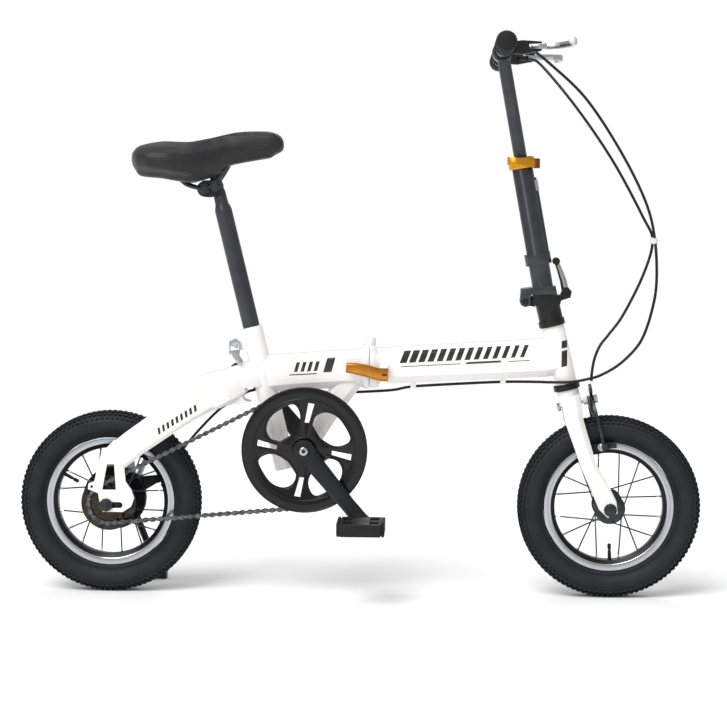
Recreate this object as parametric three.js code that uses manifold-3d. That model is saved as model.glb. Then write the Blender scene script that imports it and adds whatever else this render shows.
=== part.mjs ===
// Folding bicycle with 12-inch wheels, in millimetres: +X forward, +Y left, +Z up.
import * as THREE from "three";
import { mergeVertices } from "three/addons/utils/BufferGeometryUtils.js";
import Module from "manifold-3d";

const wasm = await Module();
wasm.setup();

// Wheels
const tyreRadius = 152.5;
const tyreHalfWidth = 26;
const rimOuter = 108;
const rimInner = 90;
const rimHalfWidth = 15;
const spokeCount = 16;
const spokeRadius = 1.1;
const rearX = -418.5;
const frontX = 418.5;
const rearCentre = [rearX, tyreRadius];
const frontCentre = [frontX, tyreRadius];
const axleRadius = 4.75;

// Drive
const crankCentre = [-89, 247];
const crankLength = 152;
const crankAngle = THREE.MathUtils.degToRad(-50);
const chainY = -43;
const ringTeeth = 48;
const cogTeeth = 16;
const ringPitch = 97.1;
const cogPitch = 32.6;
const guardRadius = 105;

// Frame
const seatTubeFoot = [-124, 210];
const seatTubeTop = [-182, 448];
const seatTubeRadius = 18;
const seatpostRadius = 14.3;
const hingeX = 17;
const hingeY = 36;
const headTop = [321.4, 454];
const headFoot = [344.9, 358];
const headRadius = 19;
const gap = 0.3;
const wallThickness = 2.5;

// Handlebar post
const stemPivot = [275.4, 495.1];
const lowerPostRadius = 17.5;
const upperPostRadius = 11;
const postFoot = [304.5, 518];
const postLean = THREE.MathUtils.degToRad(10.45);
const barHalfWidth = 262;

// Materials
const finishes = {
  whitePaint: [0xf2f0ec, 0.35, 0],
  blackPaint: [0x1b1b1d, 0.4, 0],
  greyAnodised: [0x3b3d42, 0.4, 0.7],
  goldAnodised: [0xd6912a, 0.3, 0.8],
  polishedMetal: [0xc9cacc, 0.2, 1],
  darkSteel: [0x57534d, 0.45, 0.9],
  rubber: [0x222325, 0.85, 0],
  blackPlastic: [0x18191b, 0.3, 0],
  matteBlack: [0x222326, 0.6, 0],
  vinyl: [0x1e1e20, 0.6, 0],
  cableBlack: [0x202124, 0.5, 0],
};

const group = new THREE.Group();
group.name = "folding_bicycle";

function bodyOf(geometry) {
  const plain = geometry.clone();
  plain.deleteAttribute("normal");
  plain.deleteAttribute("uv");
  const merged = mergeVertices(plain, 1e-3);
  const p = merged.attributes.position;
  const index = new Uint32Array(merged.index.array);
  const [a, b, c] = [new THREE.Vector3(), new THREE.Vector3(), new THREE.Vector3()];
  const faces = [];
  let volume = 0;
  for (let i = 0; i < index.length; i += 3) {
    const [u, v, w] = [index[i], index[i + 1], index[i + 2]];
    if (u === v || v === w || w === u) continue;
    a.fromBufferAttribute(p, u);
    b.fromBufferAttribute(p, v);
    c.fromBufferAttribute(p, w);
    volume += a.dot(b.cross(c));
    faces.push([u, v, w]);
  }
  const triVerts = new Uint32Array(faces.flatMap((f) => (volume < 0 ? [f[0], f[2], f[1]] : f)));
  const mesh = new wasm.Mesh({ numProp: 3, vertProperties: p.array, triVerts });
  return new wasm.Manifold(mesh);
}

function joined(bodies) {
  return bodies.reduce((whole, next) => whole.add(next));
}

function without(body, ...cutters) {
  return cutters.reduce((rest, cutter) => rest.subtract(cutter), body);
}

// A round bar from a to b; a second radius makes it taper.
function rod(a, b, radius, sides = 12, endRadius = radius) {
  const start = new THREE.Vector3(...a);
  const along = new THREE.Vector3(...b).sub(start);
  const geometry = new THREE.CylinderGeometry(endRadius, radius, along.length(), sides);
  const turn = new THREE.Quaternion();
  turn.setFromUnitVectors(new THREE.Vector3(0, 1, 0), along.clone().normalize());
  geometry.applyQuaternion(turn);
  geometry.translate(...start.addScaledVector(along, 0.5).toArray());
  return bodyOf(geometry);
}

// A round bar across the bicycle, centred on a point of the side view.
function crossBar([x, z], y0, y1, radius, sides = 12, endRadius = radius) {
  return rod([x, y0, z], [x, y1, z], radius, sides, endRadius);
}

// A round bar in a plane of constant Y, between two points of the side view.
function sideBar(p, q, radius, y = 0, sides = 12, endRadius = radius) {
  return rod([p[0], y, p[1]], [q[0], y, q[1]], radius, sides, endRadius);
}

function block([x, y, z], [sx, sy, sz], tilt = 0) {
  const geometry = new THREE.BoxGeometry(sx, sy, sz);
  geometry.rotateY(tilt);
  geometry.translate(x, y, z);
  return bodyOf(geometry);
}

// A plate whose side-view outline is given, between two values of Y.
function plate(outline, y0, y1) {
  const shape = new THREE.Shape(outline.map(([x, z]) => new THREE.Vector2(x, z)));
  const geometry = new THREE.ExtrudeGeometry(shape, { depth: y1 - y0, bevelEnabled: false });
  geometry.rotateX(Math.PI / 2);
  geometry.translate(0, y1, 0);
  return bodyOf(geometry);
}

// A turned piece on an axis across the bicycle; the profile is [radius, y] pairs.
function turned([x, z], profile, sides) {
  const points = profile.map(([r, y]) => new THREE.Vector2(r, y));
  const geometry = new THREE.LatheGeometry(points, sides);
  geometry.translate(x, 0, z);
  return bodyOf(geometry);
}

function ringOf(centre, outer, inner, y0, y1, sides) {
  const profile = [[inner, y0], [outer, y0], [outer, y1], [inner, y1], [inner, y0]];
  return turned(centre, profile, sides);
}

// A skin over rings of points, closed at both ends.
function loft(rings) {
  const count = rings[0].length;
  const middle = (ring) => ring.reduce((s, v) => s.add(v), new THREE.Vector3()).divideScalar(count);
  const points = [...rings.flat(), middle(rings[0]), middle(rings[rings.length - 1])];
  const faces = [];
  const last = (rings.length - 1) * count;
  for (let i = 0; i < count; i += 1) {
    const j = (i + 1) % count;
    for (let k = 0; k < last; k += count) {
      faces.push(k + i, k + j, k + count + j, k + i, k + count + j, k + count + i);
    }
    faces.push(points.length - 2, j, i, points.length - 1, last + i, last + j);
  }
  const geometry = new THREE.BufferGeometry().setFromPoints(points);
  geometry.setIndex(faces);
  return bodyOf(geometry);
}

// A box-section tube through stations [x, z, height, width, corner, y] of the side view.
function beam(stations, cornerSteps = 1) {
  const rings = stations.map(([x, z, height, width, corner, y = 0], i) => {
    const before = stations[Math.max(i - 1, 0)];
    const after = stations[Math.min(i + 1, stations.length - 1)];
    const along = new THREE.Vector2(after[0] - before[0], after[1] - before[1]).normalize();
    const ring = [];
    for (let k = 0; k < 4; k += 1) {
      const [sy, su] = [[1, 1], [-1, 1], [-1, -1], [1, -1]][k];
      for (let s = 0; s <= cornerSteps; s += 1) {
        const a = (Math.PI / 2) * (k + s / cornerSteps);
        const across = sy * (width / 2 - corner) + corner * Math.cos(a);
        const up = su * (height / 2 - corner) + corner * Math.sin(a);
        ring.push(new THREE.Vector3(x - along.y * up, y + across, z + along.x * up));
      }
    }
    return ring;
  });
  return loft(rings);
}

// A cable or bent rod through 3-D points.
function cord(points, radius, sides, steps) {
  const curve = new THREE.CatmullRomCurve3(points.map((p) => new THREE.Vector3(...p)));
  curve.curveType = "centripetal";
  const shape = new THREE.Shape();
  for (let i = 0; i < sides; i += 1) {
    const a = (2 * Math.PI * i) / sides;
    const place = [radius * Math.cos(a), radius * Math.sin(a)];
    if (i === 0) shape.moveTo(...place);
    else shape.lineTo(...place);
  }
  const geometry = new THREE.ExtrudeGeometry(shape, { extrudePath: curve, steps });
  return bodyOf(geometry);
}

// The inside of a box-section tube whose wall is the given thickness.
function hollow(stations, wall) {
  return beam(stations.map(([x, z, height, width, corner, y]) =>
    [x, z, height - 2 * wall, width - 2 * wall, Math.max(corner - wall, 1), y]));
}

function polar([x, z], radius, angle) {
  return [x + radius * Math.cos(angle), z + radius * Math.sin(angle)];
}

function along(p, q, t) {
  return [p[0] + (q[0] - p[0]) * t, p[1] + (q[1] - p[1]) * t];
}

function put(name, finish, body) {
  const mesh = body.getMesh();
  const geometry = new THREE.BufferGeometry();
  geometry.setAttribute("position", new THREE.BufferAttribute(mesh.vertProperties, 3));
  geometry.setIndex(new THREE.BufferAttribute(mesh.triVerts, 1));
  geometry.computeVertexNormals();
  const [color, roughness, metalness] = finishes[finish];
  const material = new THREE.MeshStandardMaterial({ color, roughness, metalness });
  const piece = new THREE.Mesh(geometry, material);
  piece.name = name;
  group.add(piece);
}

// --- Wheels ---

function wheel(end, x, drum) {
  const centre = [x, tyreRadius];
  const tyre = turned(centre, [
    [108.5, -12], [124, -tyreHalfWidth], [142, -21], [tyreRadius, -10],
    [tyreRadius, 10], [142, 21], [124, tyreHalfWidth], [108.5, 12],
    [124, 22], [145, 11], [145, -11], [124, -22], [108.5, -12],
  ], 36);
  put(`tyre_${end}`, "rubber", tyre);

  const rim = turned(centre, [
    [rimInner, -10], [97.5, -rimHalfWidth + 1], [rimOuter - 0.3, -rimHalfWidth + 1],
    [rimOuter - 0.3, -rimHalfWidth + 4], [94, 0], [rimOuter - 0.3, rimHalfWidth - 4],
    [rimOuter - 0.3, rimHalfWidth - 1], [97.5, rimHalfWidth - 1], [rimInner, 10], [rimInner, -10],
  ], 36);
  const valveAngle = end === "front" ? -Math.PI / 2 + 0.04 : Math.PI - 0.5;
  const hole = sideBar(polar(centre, 80, valveAngle), polar(centre, 112, valveAngle), 3.6, 0, 8);
  put(`rim_${end}`, "polishedMetal", without(rim, hole));
  const stemStart = polar(centre, 64, valveAngle);
  put(`valve_${end}`, "blackPlastic", sideBar(stemStart, polar(centre, 103, valveAngle), 3.2, 0, 8));

  const flangeY = drum ? 29 : 32;
  const bore = axleRadius + gap;
  const shell = turned(centre, [
    [bore, -flangeY - 3], [26, -flangeY - 1.5], [26, -flangeY + 1.5], [12, -flangeY + 3],
    [12, flangeY - 3], [26, flangeY - 1.5], [26, flangeY + 1.5], [bore, flangeY + 3],
    [bore, -flangeY - 3],
  ], 12);
  const pieces = [shell];
  if (drum) pieces.push(ringOf(centre, 44, 12, flangeY + 0.5, flangeY + 9, 20));
  for (let i = 0; i < spokeCount; i += 1) {
    const side = i % 2 ? 1 : -1;
    const outward = (2 * Math.PI * (i + 0.5)) / spokeCount;
    const inward = outward + (i % 4 < 2 ? 0.75 : -0.75);
    const [x0, z0] = polar(centre, 23, inward);
    const [x1, z1] = polar(centre, rimInner - 1.4, outward);
    pieces.push(rod([x0, side * flangeY, z0], [x1, side * 4, z1], spokeRadius, 4));
  }
  put(`hub_${end}`, "blackPaint", joined(pieces));
}

wheel("rear", rearX, true);
wheel("front", frontX, false);

// An axle with locknuts inside the frame ends and washers and nuts outside them.
function axle(centre, reach, [inner0, inner1], [left, right], nut = 9) {
  const thin = axleRadius - gap;
  return turned(centre, [
    [0, -reach], [thin, -reach], [thin, -right - nut], [8, -right - nut], [8, -right - 2],
    [11, -right - 2], [11, -right], [thin, -right], [thin, -inner1], [8, -inner1], [8, -inner0],
    [thin, -inner0], [thin, inner0], [8, inner0], [8, inner1], [thin, inner1], [thin, left],
    [11, left], [11, left + 2], [8, left + 2], [8, left + nut], [thin, left + nut],
    [thin, reach], [0, reach],
  ], 12);
}

// --- Chain drive ---

function toothed(centre, teeth, pitch, y0, y1) {
  const outline = [];
  for (let i = 0; i < teeth; i += 1) {
    const step = (2 * Math.PI) / teeth;
    for (const [turn, rise] of [[0, 2.2], [0.5, -4]]) {
      outline.push(polar(centre, pitch + rise, (i + turn) * step));
    }
  }
  return plate(outline, y0, y1);
}

const cogOutline = toothed(rearCentre, cogTeeth, cogPitch, chainY - 1.2, chainY + 1.2);
const cogBody = crossBar(rearCentre, chainY - 7, chainY + 8, 22, 12);
const cogBore = crossBar(rearCentre, chainY - 20, chainY + 20, 9);
put("sprocket", "darkSteel", without(joined([cogOutline, cogBody]), cogBore));

const ringOutline = toothed(crankCentre, ringTeeth, ringPitch, chainY - 1.2, chainY + 1.2);
const ringWindows = [];
for (let i = 0; i < 5; i += 1) {
  const a = (2 * Math.PI * i) / 5;
  const window = [];
  for (const [r, da] of [[30, -0.35], [84, -0.5], [88, 0], [84, 0.5], [30, 0.35]]) {
    window.push(polar(crankCentre, r, a + da));
  }
  ringWindows.push(plate(window, chainY - 5, chainY + 5));
}
const spindleHole = crossBar(crankCentre, -80, 80, 9 + gap, 20);
put("chainring", "darkSteel", without(ringOutline, spindleHole, ...ringWindows));

// The guard has four rounded windows and four slanted slots between them.
const windowSpline = new THREE.CatmullRomCurve3([
  [14, 40.4], [19.3, 56.3], [35.1, 62.9], [53.6, 56.3], [66.8, 40.4],
  [76.1, 19.3], [64.2, 8.7], [45.7, 8.7], [21.9, 24.6],
].map(([x, z]) => new THREE.Vector3(x, 0, z)), true);
const windowPoints = windowSpline.getSpacedPoints(12).slice(0, 12);
const slotPoints = [[16.5, 77], [6.5, 78.5], [0.5, 46], [7.5, 45.4]];
const guardCuts = [crossBar(crankCentre, -80, 0, 19, 24)];
for (let i = 0; i < 4; i += 1) {
  const [c, s] = [Math.cos((Math.PI / 2) * i), Math.sin((Math.PI / 2) * i)];
  const placed = (x, z) => [crankCentre[0] + x * c - z * s, crankCentre[1] + x * s + z * c];
  guardCuts.push(plate(windowPoints.map((v) => placed(v.x, v.z)), -56, -46));
  guardCuts.push(plate(slotPoints.map(([x, z]) => placed(x, z)), -56, -46));
}
const guardBlank = turned(crankCentre, [
  [0, -51.5], [80, -51.5], [84, -52.5], [guardRadius, -52.5], [guardRadius, -48.6], [0, -48.6],
], 40);
put("chain_guard", "blackPlastic", without(guardBlank, ...guardCuts));

// A roller chain: side plates and an outer web in a loop about both toothed wheels.
const reach = Math.hypot(crankCentre[0] - rearX, crankCentre[1] - tyreRadius);
const lean = Math.atan2(crankCentre[1] - tyreRadius, crankCentre[0] - rearX);
const spread = Math.acos((ringPitch - cogPitch) / reach);
function chainOutline(offset) {
  const outline = [];
  const free = Math.PI - spread;
  for (let i = 0; i <= 24; i += 1) {
    const a = lean - free + (2 * free * i) / 24;
    outline.push(polar(crankCentre, ringPitch + offset, a));
  }
  for (let i = 0; i <= 8; i += 1) {
    const a = lean + free + (2 * spread * i) / 8;
    outline.push(polar(rearCentre, cogPitch + offset, a));
  }
  return outline;
}
const chainHalf = 4.3;
const outerLoop = plate(chainOutline(4.2), chainY - chainHalf, chainY + chainHalf);
const innerLoop = plate(chainOutline(-4.2), chainY - 9, chainY + 9);
const channel = without(
  plate(chainOutline(3.3), chainY - 2.4, chainY + 2.4),
  plate(chainOutline(-6), chainY - 9, chainY + 9),
);
put("chain", "darkSteel", without(outerLoop, innerLoop, channel));

// --- Cranks and pedals ---

function crank(side) {
  const reachAngle = crankAngle + (side < 0 ? 0 : Math.PI);
  const end = polar(crankCentre, crankLength, reachAngle);
  const inner = side < 0 ? 53 : 42;
  const mid = inner + 8;
  const lift = (y) => side * y;
  const arm = [0, 0.25, 0.75, 1].map((t, i) => {
    const [x, z] = along(crankCentre, end, t);
    const y = lift(mid + 7 * Math.min(1, t * 1.4));
    return [x, z, [34, 30, 25, 26][i], [15, 13, 12, 13][i], 4, y];
  });
  const eye = crossBar(end, lift(inner + 8), lift(inner + 21.5), 13.5, 20);
  const boss = crossBar(crankCentre, lift(inner), lift(inner + 17), 18.5, 24);
  const cap = crossBar(crankCentre, lift(inner + 16), lift(inner + 19), 11, 6);
  const pin = crossBar(end, lift(inner + 20), lift(162), 5, 12);
  const key = crossBar(crankCentre, lift(0), lift(inner + 12), 8 + gap, 12);
  return without(joined([beam(arm), eye, boss, pin]), key).add(cap);
}

function pedal(side) {
  const reachAngle = crankAngle + (side < 0 ? 0 : Math.PI);
  const [x, z] = polar(crankCentre, crankLength, reachAngle);
  const y = (v) => side * (121 + v);
  const hull = joined([
    block([x, y(0), z], [78, 64, 20]), block([x, y(0), z], [66, 90, 20]),
  ]);
  const windows = [];
  for (const [u, v] of [[-1, -1], [-1, 1], [1, -1], [1, 1]]) {
    windows.push(block([x + u * 22, y(v * 20), z], [15, 27, 30]));
  }
  const core = crossBar([x, z], side * 76.2, side * 165.5, 9.8, 16);
  const bore = crossBar([x, z], side * 60, side * 163, 5.6, 12);
  return without(without(hull, ...windows).add(core), bore);
}

put("crank_spindle", "darkSteel", crossBar(crankCentre, -60, 52, 8, 16));
put("crank_right", "matteBlack", crank(-1));
put("crank_left", "matteBlack", crank(1));
put("pedal_right", "blackPlastic", pedal(-1));
put("pedal_left", "blackPlastic", pedal(1));

// --- Rear half of the frame ---

const seatTubeSolid = sideBar(seatTubeFoot, seatTubeTop, seatTubeRadius, 0, 16);
const seatTubeRoom = sideBar(
  along(seatTubeFoot, seatTubeTop, -0.1), along(seatTubeFoot, seatTubeTop, 1.1),
  seatTubeRadius + gap, 0, 16,
);
const seatTubeBore = sideBar(
  along(seatTubeFoot, seatTubeTop, -0.1), along(seatTubeFoot, seatTubeTop, 1.1),
  seatpostRadius + gap, 0, 16,
);
const clampAt = [-209, 423];
const ears = plate([[-180, 436], [-203, 432], [-217, 427], [-217, 417], [-204, 411],
  [-176, 404]], -10, 10);
const clampSlot = block([-203, 0, 425], [44, 3, 60]);
const skewerHole = crossBar(clampAt, -20, 20, 3.4, 12);
put("seat_tube", "whitePaint",
  without(seatTubeSolid.add(ears), seatTubeBore, clampSlot, skewerHole));

const rearTube = [[-158, 369, 62, 32, 10], [-138, 371, 62, 40, 12], [-60, 377, 62, 42, 12],
  [2, 382, 62, 42, 12]];
const mainRear = beam([...rearTube, [9, 382, 70, 50, 6], [16.5, 382, 70, 50, 6]])
  .subtract(hollow(rearTube, wallThickness));
const knuckleLow = rod([hingeX, hingeY, 346], [hingeX, hingeY, 368], 9, 16);
const knuckleHigh = rod([hingeX, hingeY, 396], [hingeX, hingeY, 429], 9, 16);
const hingeWebRear = joined([block([9, 29, 357], [14, 14, 22]), block([9, 29, 407], [14, 14, 22])]);
const hingePin = rod([hingeX, hingeY, 350], [hingeX, hingeY, 425], 4, 12);
const frontKnuckleRoom = rod([hingeX, hingeY, 367.7], [hingeX, hingeY, 396.3], 10, 16);
const rearHinge = without(mainRear.add(hingeWebRear), frontKnuckleRoom);
const latchCatch = block([10, -27, 372], [9, 6, 18]);
put("main_tube_rear", "whitePaint",
  without(rearHinge.add(latchCatch).add(knuckleLow).add(knuckleHigh).add(hingePin), seatTubeRoom));

const shellRadius = 20;
const mainRearRoom = beam([[-175, 368, 62.6, 42.6, 12], [-60, 377, 62.6, 42.6, 12],
  [2, 382, 62.6, 42.6, 12], [8.7, 382, 70.6, 50.6, 6], [20, 382, 70.6, 50.6, 6]]);
const strut = joined([
  beam([[-16, 362, 44, 34, 10], [-46, 318, 38, 34, 10], [-84, 256, 34, 34, 10]]),
  crossBar(crankCentre, -34, 34, shellRadius, 24),
  plate([[-128, 234], [-92, 229], [-92, 262], [-132, 258]], -12, 12),
]);
const shellBore = crossBar(crankCentre, -40, 40, 16, 20);
put("down_strut", "whitePaint", without(strut, shellBore, seatTubeRoom, mainRearRoom));

const yokeOutline = [[-166, 396], [-212, 381], [-272, 364], [-296, 343], [-292, 318],
  [-262, 300], [-225, 316], [-160, 326]];
const yokeWindow = [[-150, 349], [-189, 347], [-198, 340], [-193, 326], [-178, 321], [-150, 321]];
const yokeCore = plate([[-150, 390], [-212, 375], [-268, 358], [-284, 342], [-286, 322],
  [-262, 307], [-225, 322], [-205, 325], [-205, 352], [-150, 356]], -15, 15);
const yoke = without(plate(yokeOutline, -17.5, 17.5), yokeCore, plate(yokeWindow, -30, 30), seatTubeRoom);
put("rear_yoke", "whitePaint", without(yoke, crossBar([-210, 318], -30, 30, 2.5, 10)));

const yokeRoom = plate([[-150, 400], [-212, 385], [-273, 367], [-300, 345], [-296, 314],
  [-262, 296], [-225, 312], [-150, 320]], -17.5 - gap, 17.5 + gap);
function rearArm(side) {
  const y = (v) => side * v;
  const stations = [
    [-250, 333, 48, 20, 6, y(22)], [-285, 316, 50, 22, 6, y(34)], [-318, 294, 48, 22, 6, y(44)],
    [-372, 256, 46, 20, 6, y(50.5)], [-402, 232, 46, 14, 5, y(53.5)],
  ];
  const tube = beam(stations).subtract(hollow(stations.slice(0, 4), wallThickness));
  const [near, far] = side < 0 ? [-60, -55] : [55, 60];
  const dropout = plate([[-404, 262], [-426, 240], [-433, 216], [-438, 192], [-448, 188],
    [-449, 179], [-441, 176], [-432, 172], [-430, 160], [-424, 141], [-391, 141], [-377, 150],
    [-372, 164], [-376, 178], [-386, 192], [-388, 212]], near, far);
  const slot = joined([
    plate([[-436, 157.6], [-396, 157.6], [-396, 147.4], [-436, 147.4]], -80, 80),
    crossBar([-396, 152.5], -80, 80, 5.1, 12),
  ]);
  const window = plate([[-417, 221], [-405, 221], [-402, 178], [-425, 178]], -80, 80);
  const eyelet = crossBar([-442.6, 183], -80, 80, 2.6, 10);
  return without(joined([tube, dropout]), slot, window, eyelet, yokeRoom);
}
put("rear_arm_right", "whitePaint", rearArm(-1));

const standPivot = [-396, 140];
const standPlate = plate([[-431, 147], [-424, 163], [-412, 164], [-388, 148], [-386, 134],
  [-398, 130]], 59, 65);
const standHole = crossBar(rearCentre, 55, 70, axleRadius + gap);
const standLug = crossBar(standPivot, 64, 76, 5);
put("rear_arm_left", "whitePaint", joined([rearArm(1), without(standPlate, standHole), standLug]));

const standFoot = [-352, 110, 6];
const standTop = [standPivot[0], 71, standPivot[1]];
const standEye = crossBar(standPivot, 66, 75, 12);
const standLeg = rod(standTop, standFoot, 6, 12);
const standShoe = block([standFoot[0], standFoot[1], 6], [26, 18, 12]);
put("kickstand", "blackPaint",
  without(joined([standEye, standLeg, standShoe]), crossBar(standPivot, 60, 80, 5 + gap)));

put("rear_axle", "darkSteel", axle(rearCentre, 77, [50.6, 54.6], [65.4, 60.4]));

// Band brake on the left of the rear hub.
const coverDisc = turned(rearCentre, [
  [8.4, 43.5], [8.4, 54.6], [20, 54.6], [24, 49], [50, 48], [54, 44], [54, 32], [50.5, 32],
  [50.5, 43.5], [8.4, 43.5],
], 24);
const brakeLug = plate([[-386, 186], [-345, 190], [-341, 180], [-374, 160]], 44, 50);
const adjuster = rod([-351, 52, 188], [-343, 52, 177], 4, 10);
put("band_brake_cover", "blackPaint", joined([coverDisc, brakeLug, adjuster]));
const bandPivot = [-386, 172];
const bandArm = plate([[-392, 174], [-388, 166], [-381, 168], [-365, 214], [-372, 217]], 50, 53);
put("band_brake_arm", "polishedMetal", bandArm.add(crossBar(bandPivot, 49.6, 54.4, 5, 12)));

// --- Saddle and seatpost ---

const seatAxis = [seatTubeTop[0] - seatTubeFoot[0], seatTubeTop[1] - seatTubeFoot[1]];
const seatLength = Math.hypot(...seatAxis);
const seatStep = (distance) => along(seatTubeTop, [
  seatTubeTop[0] + seatAxis[0] / seatLength, seatTubeTop[1] + seatAxis[1] / seatLength,
], distance);
const postBottom = seatStep(-110);
const postShoulder = seatStep(200);
const postHead = seatStep(236);
put("seatpost", "greyAnodised", joined([
  sideBar(postBottom, postShoulder, seatpostRadius, 0, 16),
  sideBar(postShoulder, seatStep(212), seatpostRadius, 0, 16, 11),
  sideBar(seatStep(211), postHead, 11, 0, 16),
]));

const clampBody = joined([
  sideBar(seatStep(213), seatStep(240), 16, 0, 16),
  crossBar([-252, 677], -24, 24, 9, 16),
  crossBar([-228, 683], -24, 24, 6, 12),
]);
const railPath = [
  [-338, 34, 692], [-318, 34, 688], [-290, 24, 684], [-252, 22, 682], [-215, 21, 684],
  [-185, 14, 700], [-168, 8, 712],
];
const railPair = (radius) => [-1, 1].map((side) =>
  cord(railPath.map(([x, y, z]) => [x, side * y, z]), radius, 5, 7));
put("saddle_rails", "matteBlack",
  without(clampBody, sideBar(seatStep(190), seatStep(236.4), 11 + gap, 0, 16)).add(joined(railPair(3.6))));

// Stations along the saddle: x, half width, top, bottom of the cushion, crown drop.
const saddleStations = [
  [-382, 30, 745, 716, 6], [-372, 58, 756, 708, 12], [-350, 76, 759.5, 704, 17],
  [-318, 81, 759, 702, 20], [-285, 72, 758, 700, 19], [-250, 50, 763, 708, 15],
  [-215, 33, 770, 718, 12], [-180, 25, 774.5, 723, 11], [-150, 21, 775, 728, 11],
  [-135, 16, 769, 736, 9], [-129, 8, 758, 744, 4],
];
function saddleRing([x, half, top, bottom, drop]) {
  const ring = [];
  for (let i = 0; i < 14; i += 1) {
    const a = (2 * Math.PI * i) / 14;
    const c = Math.cos(a);
    const s = Math.sin(a);
    const across = Math.sign(c) * Math.pow(Math.abs(c), 0.7) * half;
    const mid = (top + bottom) / 2 - drop * 0.2;
    const height = s > 0 ? top - mid : mid - bottom;
    ring.push(new THREE.Vector3(x, across, mid + Math.sign(s) * Math.pow(Math.abs(s), 0.8) * height));
  }
  return ring;
}
put("saddle_cushion", "vinyl", loft(saddleStations.map(saddleRing)));
const baseStations = saddleStations.slice(1, 9).map(([x, half, , bottom]) => [
  x, bottom - 4, 7, half * 1.3, 3, 0,
]);
const cushionRoom = loft(saddleStations.map(([x, half, top, bottom, drop]) =>
  saddleRing([x, half + 0.4, top + 0.5, bottom - 0.5, drop])));
put("saddle_base", "matteBlack", without(beam(baseStations), cushionRoom, ...railPair(4)));

put("seat_skewer", "polishedMetal", joined([
  crossBar(clampAt, -19, 14, 3), crossBar(clampAt, -19, -10.4, 6), crossBar(clampAt, 10.4, 16, 7, 6),
]));
put("seat_clamp_lever", "polishedMetal", joined([
  block([-217, -15, 414.9], [2.4, 5.6, 20.8]), block([-201, -15, 414.9], [2.4, 5.6, 20.8]),
  block([-209, -16, 406], [18.4, 5, 8]),
  beam([[-209, 406, 12, 5, 2, -16], [-205, 398, 11, 5, 2, -17.5], [-197, 388, 9, 5, 2, -20]]),
]));

// --- Front half of the frame ---

const headSolid = sideBar(headFoot, headTop, headRadius, 0, 16);
const headRoom = sideBar(
  along(headFoot, headTop, -0.05), along(headFoot, headTop, 1.05), headRadius + gap, 0, 16,
);
const headBore = sideBar(
  along(headFoot, headTop, -0.05), along(headFoot, headTop, 1.05), 15, 0, 16,
);
put("head_tube", "whitePaint", without(headSolid, headBore));

const frontTube = [[33, 384.5, 60, 41, 12], [173, 392.5, 62, 41, 12], [308, 401, 64, 38, 12],
  [336, 403, 60, 34, 12]];
const mainFront = beam([[17.5, 383, 70, 50, 6], [26, 383, 70, 50, 6], ...frontTube])
  .subtract(hollow(frontTube, wallThickness));
const frontKnuckle = rod([hingeX, hingeY, 368.3], [hingeX, hingeY, 395.7], 9, 16);
const hingeWebFront = block([24, 30, 382], [13, 12, 27.4]);
const pinRoom = rod([hingeX, hingeY, 340], [hingeX, hingeY, 435], 4 + gap, 12);
const knuckleRooms = joined([
  rod([hingeX, hingeY, 340], [hingeX, hingeY, 368.3], 9.6, 16),
  rod([hingeX, hingeY, 395.7], [hingeX, hingeY, 435], 9.6, 16),
]);
const clips = joined([90, 240].map((x) => {
  const under = 384.5 + ((x - 33) * 16.5) / 275 - 31;
  return block([x, 0, under - 5], [9, 10, 12]);
}));
const cableY = 0;
const cableRoom = cord([[10, cableY, 335], [57, cableY, 344], [90, cableY, 350.3], [165, cableY, 355.5],
  [240, cableY, 359.5], [290, cableY, 360]], 3.2, 6, 12);
const latchPin = [42, -32];
const latchBoss = joined([
  block([42, -29, 359], [12, 18, 5]), block([42, -29, 386], [12, 18, 4.4]),
  rod([...latchPin, 358], [...latchPin, 386], 4, 12),
]);
const frontHinge = without(joined([mainFront, hingeWebFront]), knuckleRooms);
put("main_tube_front", "whitePaint", without(
  joined([frontHinge, frontKnuckle, latchBoss, clips]), pinRoom, headRoom, cableRoom,
));

const latch = without(
  beam([[-21, 384, 16, 8, 3, -38], [-6, 382.5, 19, 9, 3, -38], [12, 379, 20, 9, 3, -37],
    [30, 373.8, 20, 10, 3, -35], [37, 372.3, 20, 13, 3, -33], [49, 372.3, 20, 13, 3, -33]]),
  rod([...latchPin, 340], [...latchPin, 400], 4 + gap, 12),
);
put("main_latch_lever", "goldAnodised", latch);

const lowerCup = ringOf([0, 0], 22, 14.5, -5, 5, 16);
function onHeadAxis(body, [x, z]) {
  const tilt = Math.atan2(headFoot[0] - headTop[0], headTop[1] - headFoot[1]);
  const degrees = THREE.MathUtils.radToDeg(tilt);
  return body.rotate([90, 0, 0]).rotate([0, -degrees, 0]).translate([x, 0, z]);
}
const headStep = (distance) => {
  const length = Math.hypot(headTop[0] - headFoot[0], headTop[1] - headFoot[1]);
  return along(headFoot, headTop, distance / length);
};
put("headset_lower", "matteBlack", onHeadAxis(lowerCup, headStep(-5.4)));

// --- Fork, front axle and steering stem ---

const crownTop = headStep(-11);
const steererTop = headStep(96);
const crownRadius = 19;
const caliperPivot = [386, 330.7];
const steerLean = Math.atan2(headFoot[0] - headTop[0], headTop[1] - headFoot[1]);
function inCaliperPlane(body) {
  return body.rotate([0, -THREE.MathUtils.radToDeg(steerLean), 0])
    .translate([caliperPivot[0], 0, caliperPivot[1]]);
}
function boltPiece(start, end, radius, sides) {
  return inCaliperPlane(rod([start, 0, 0], [end, 0, 0], radius, sides));
}
function blade(side) {
  const y = (v) => side * v;
  return beam([
    [350, 338, 34, 24, 9, y(16)], [354, 322, 31, 24, 9, y(33)], [358, 297.5, 30, 24, 9, y(39)],
    [373, 252.7, 27, 20, 8, y(41)], [382, 224.6, 26, 18, 7, y(43)], [402, 186, 30, 12, 4, y(46)],
    [414, 160, 32, 7, 3, y(47.5)], [423, 143, 18, 7, 3, y(47.5)],
  ]);
}
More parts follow.
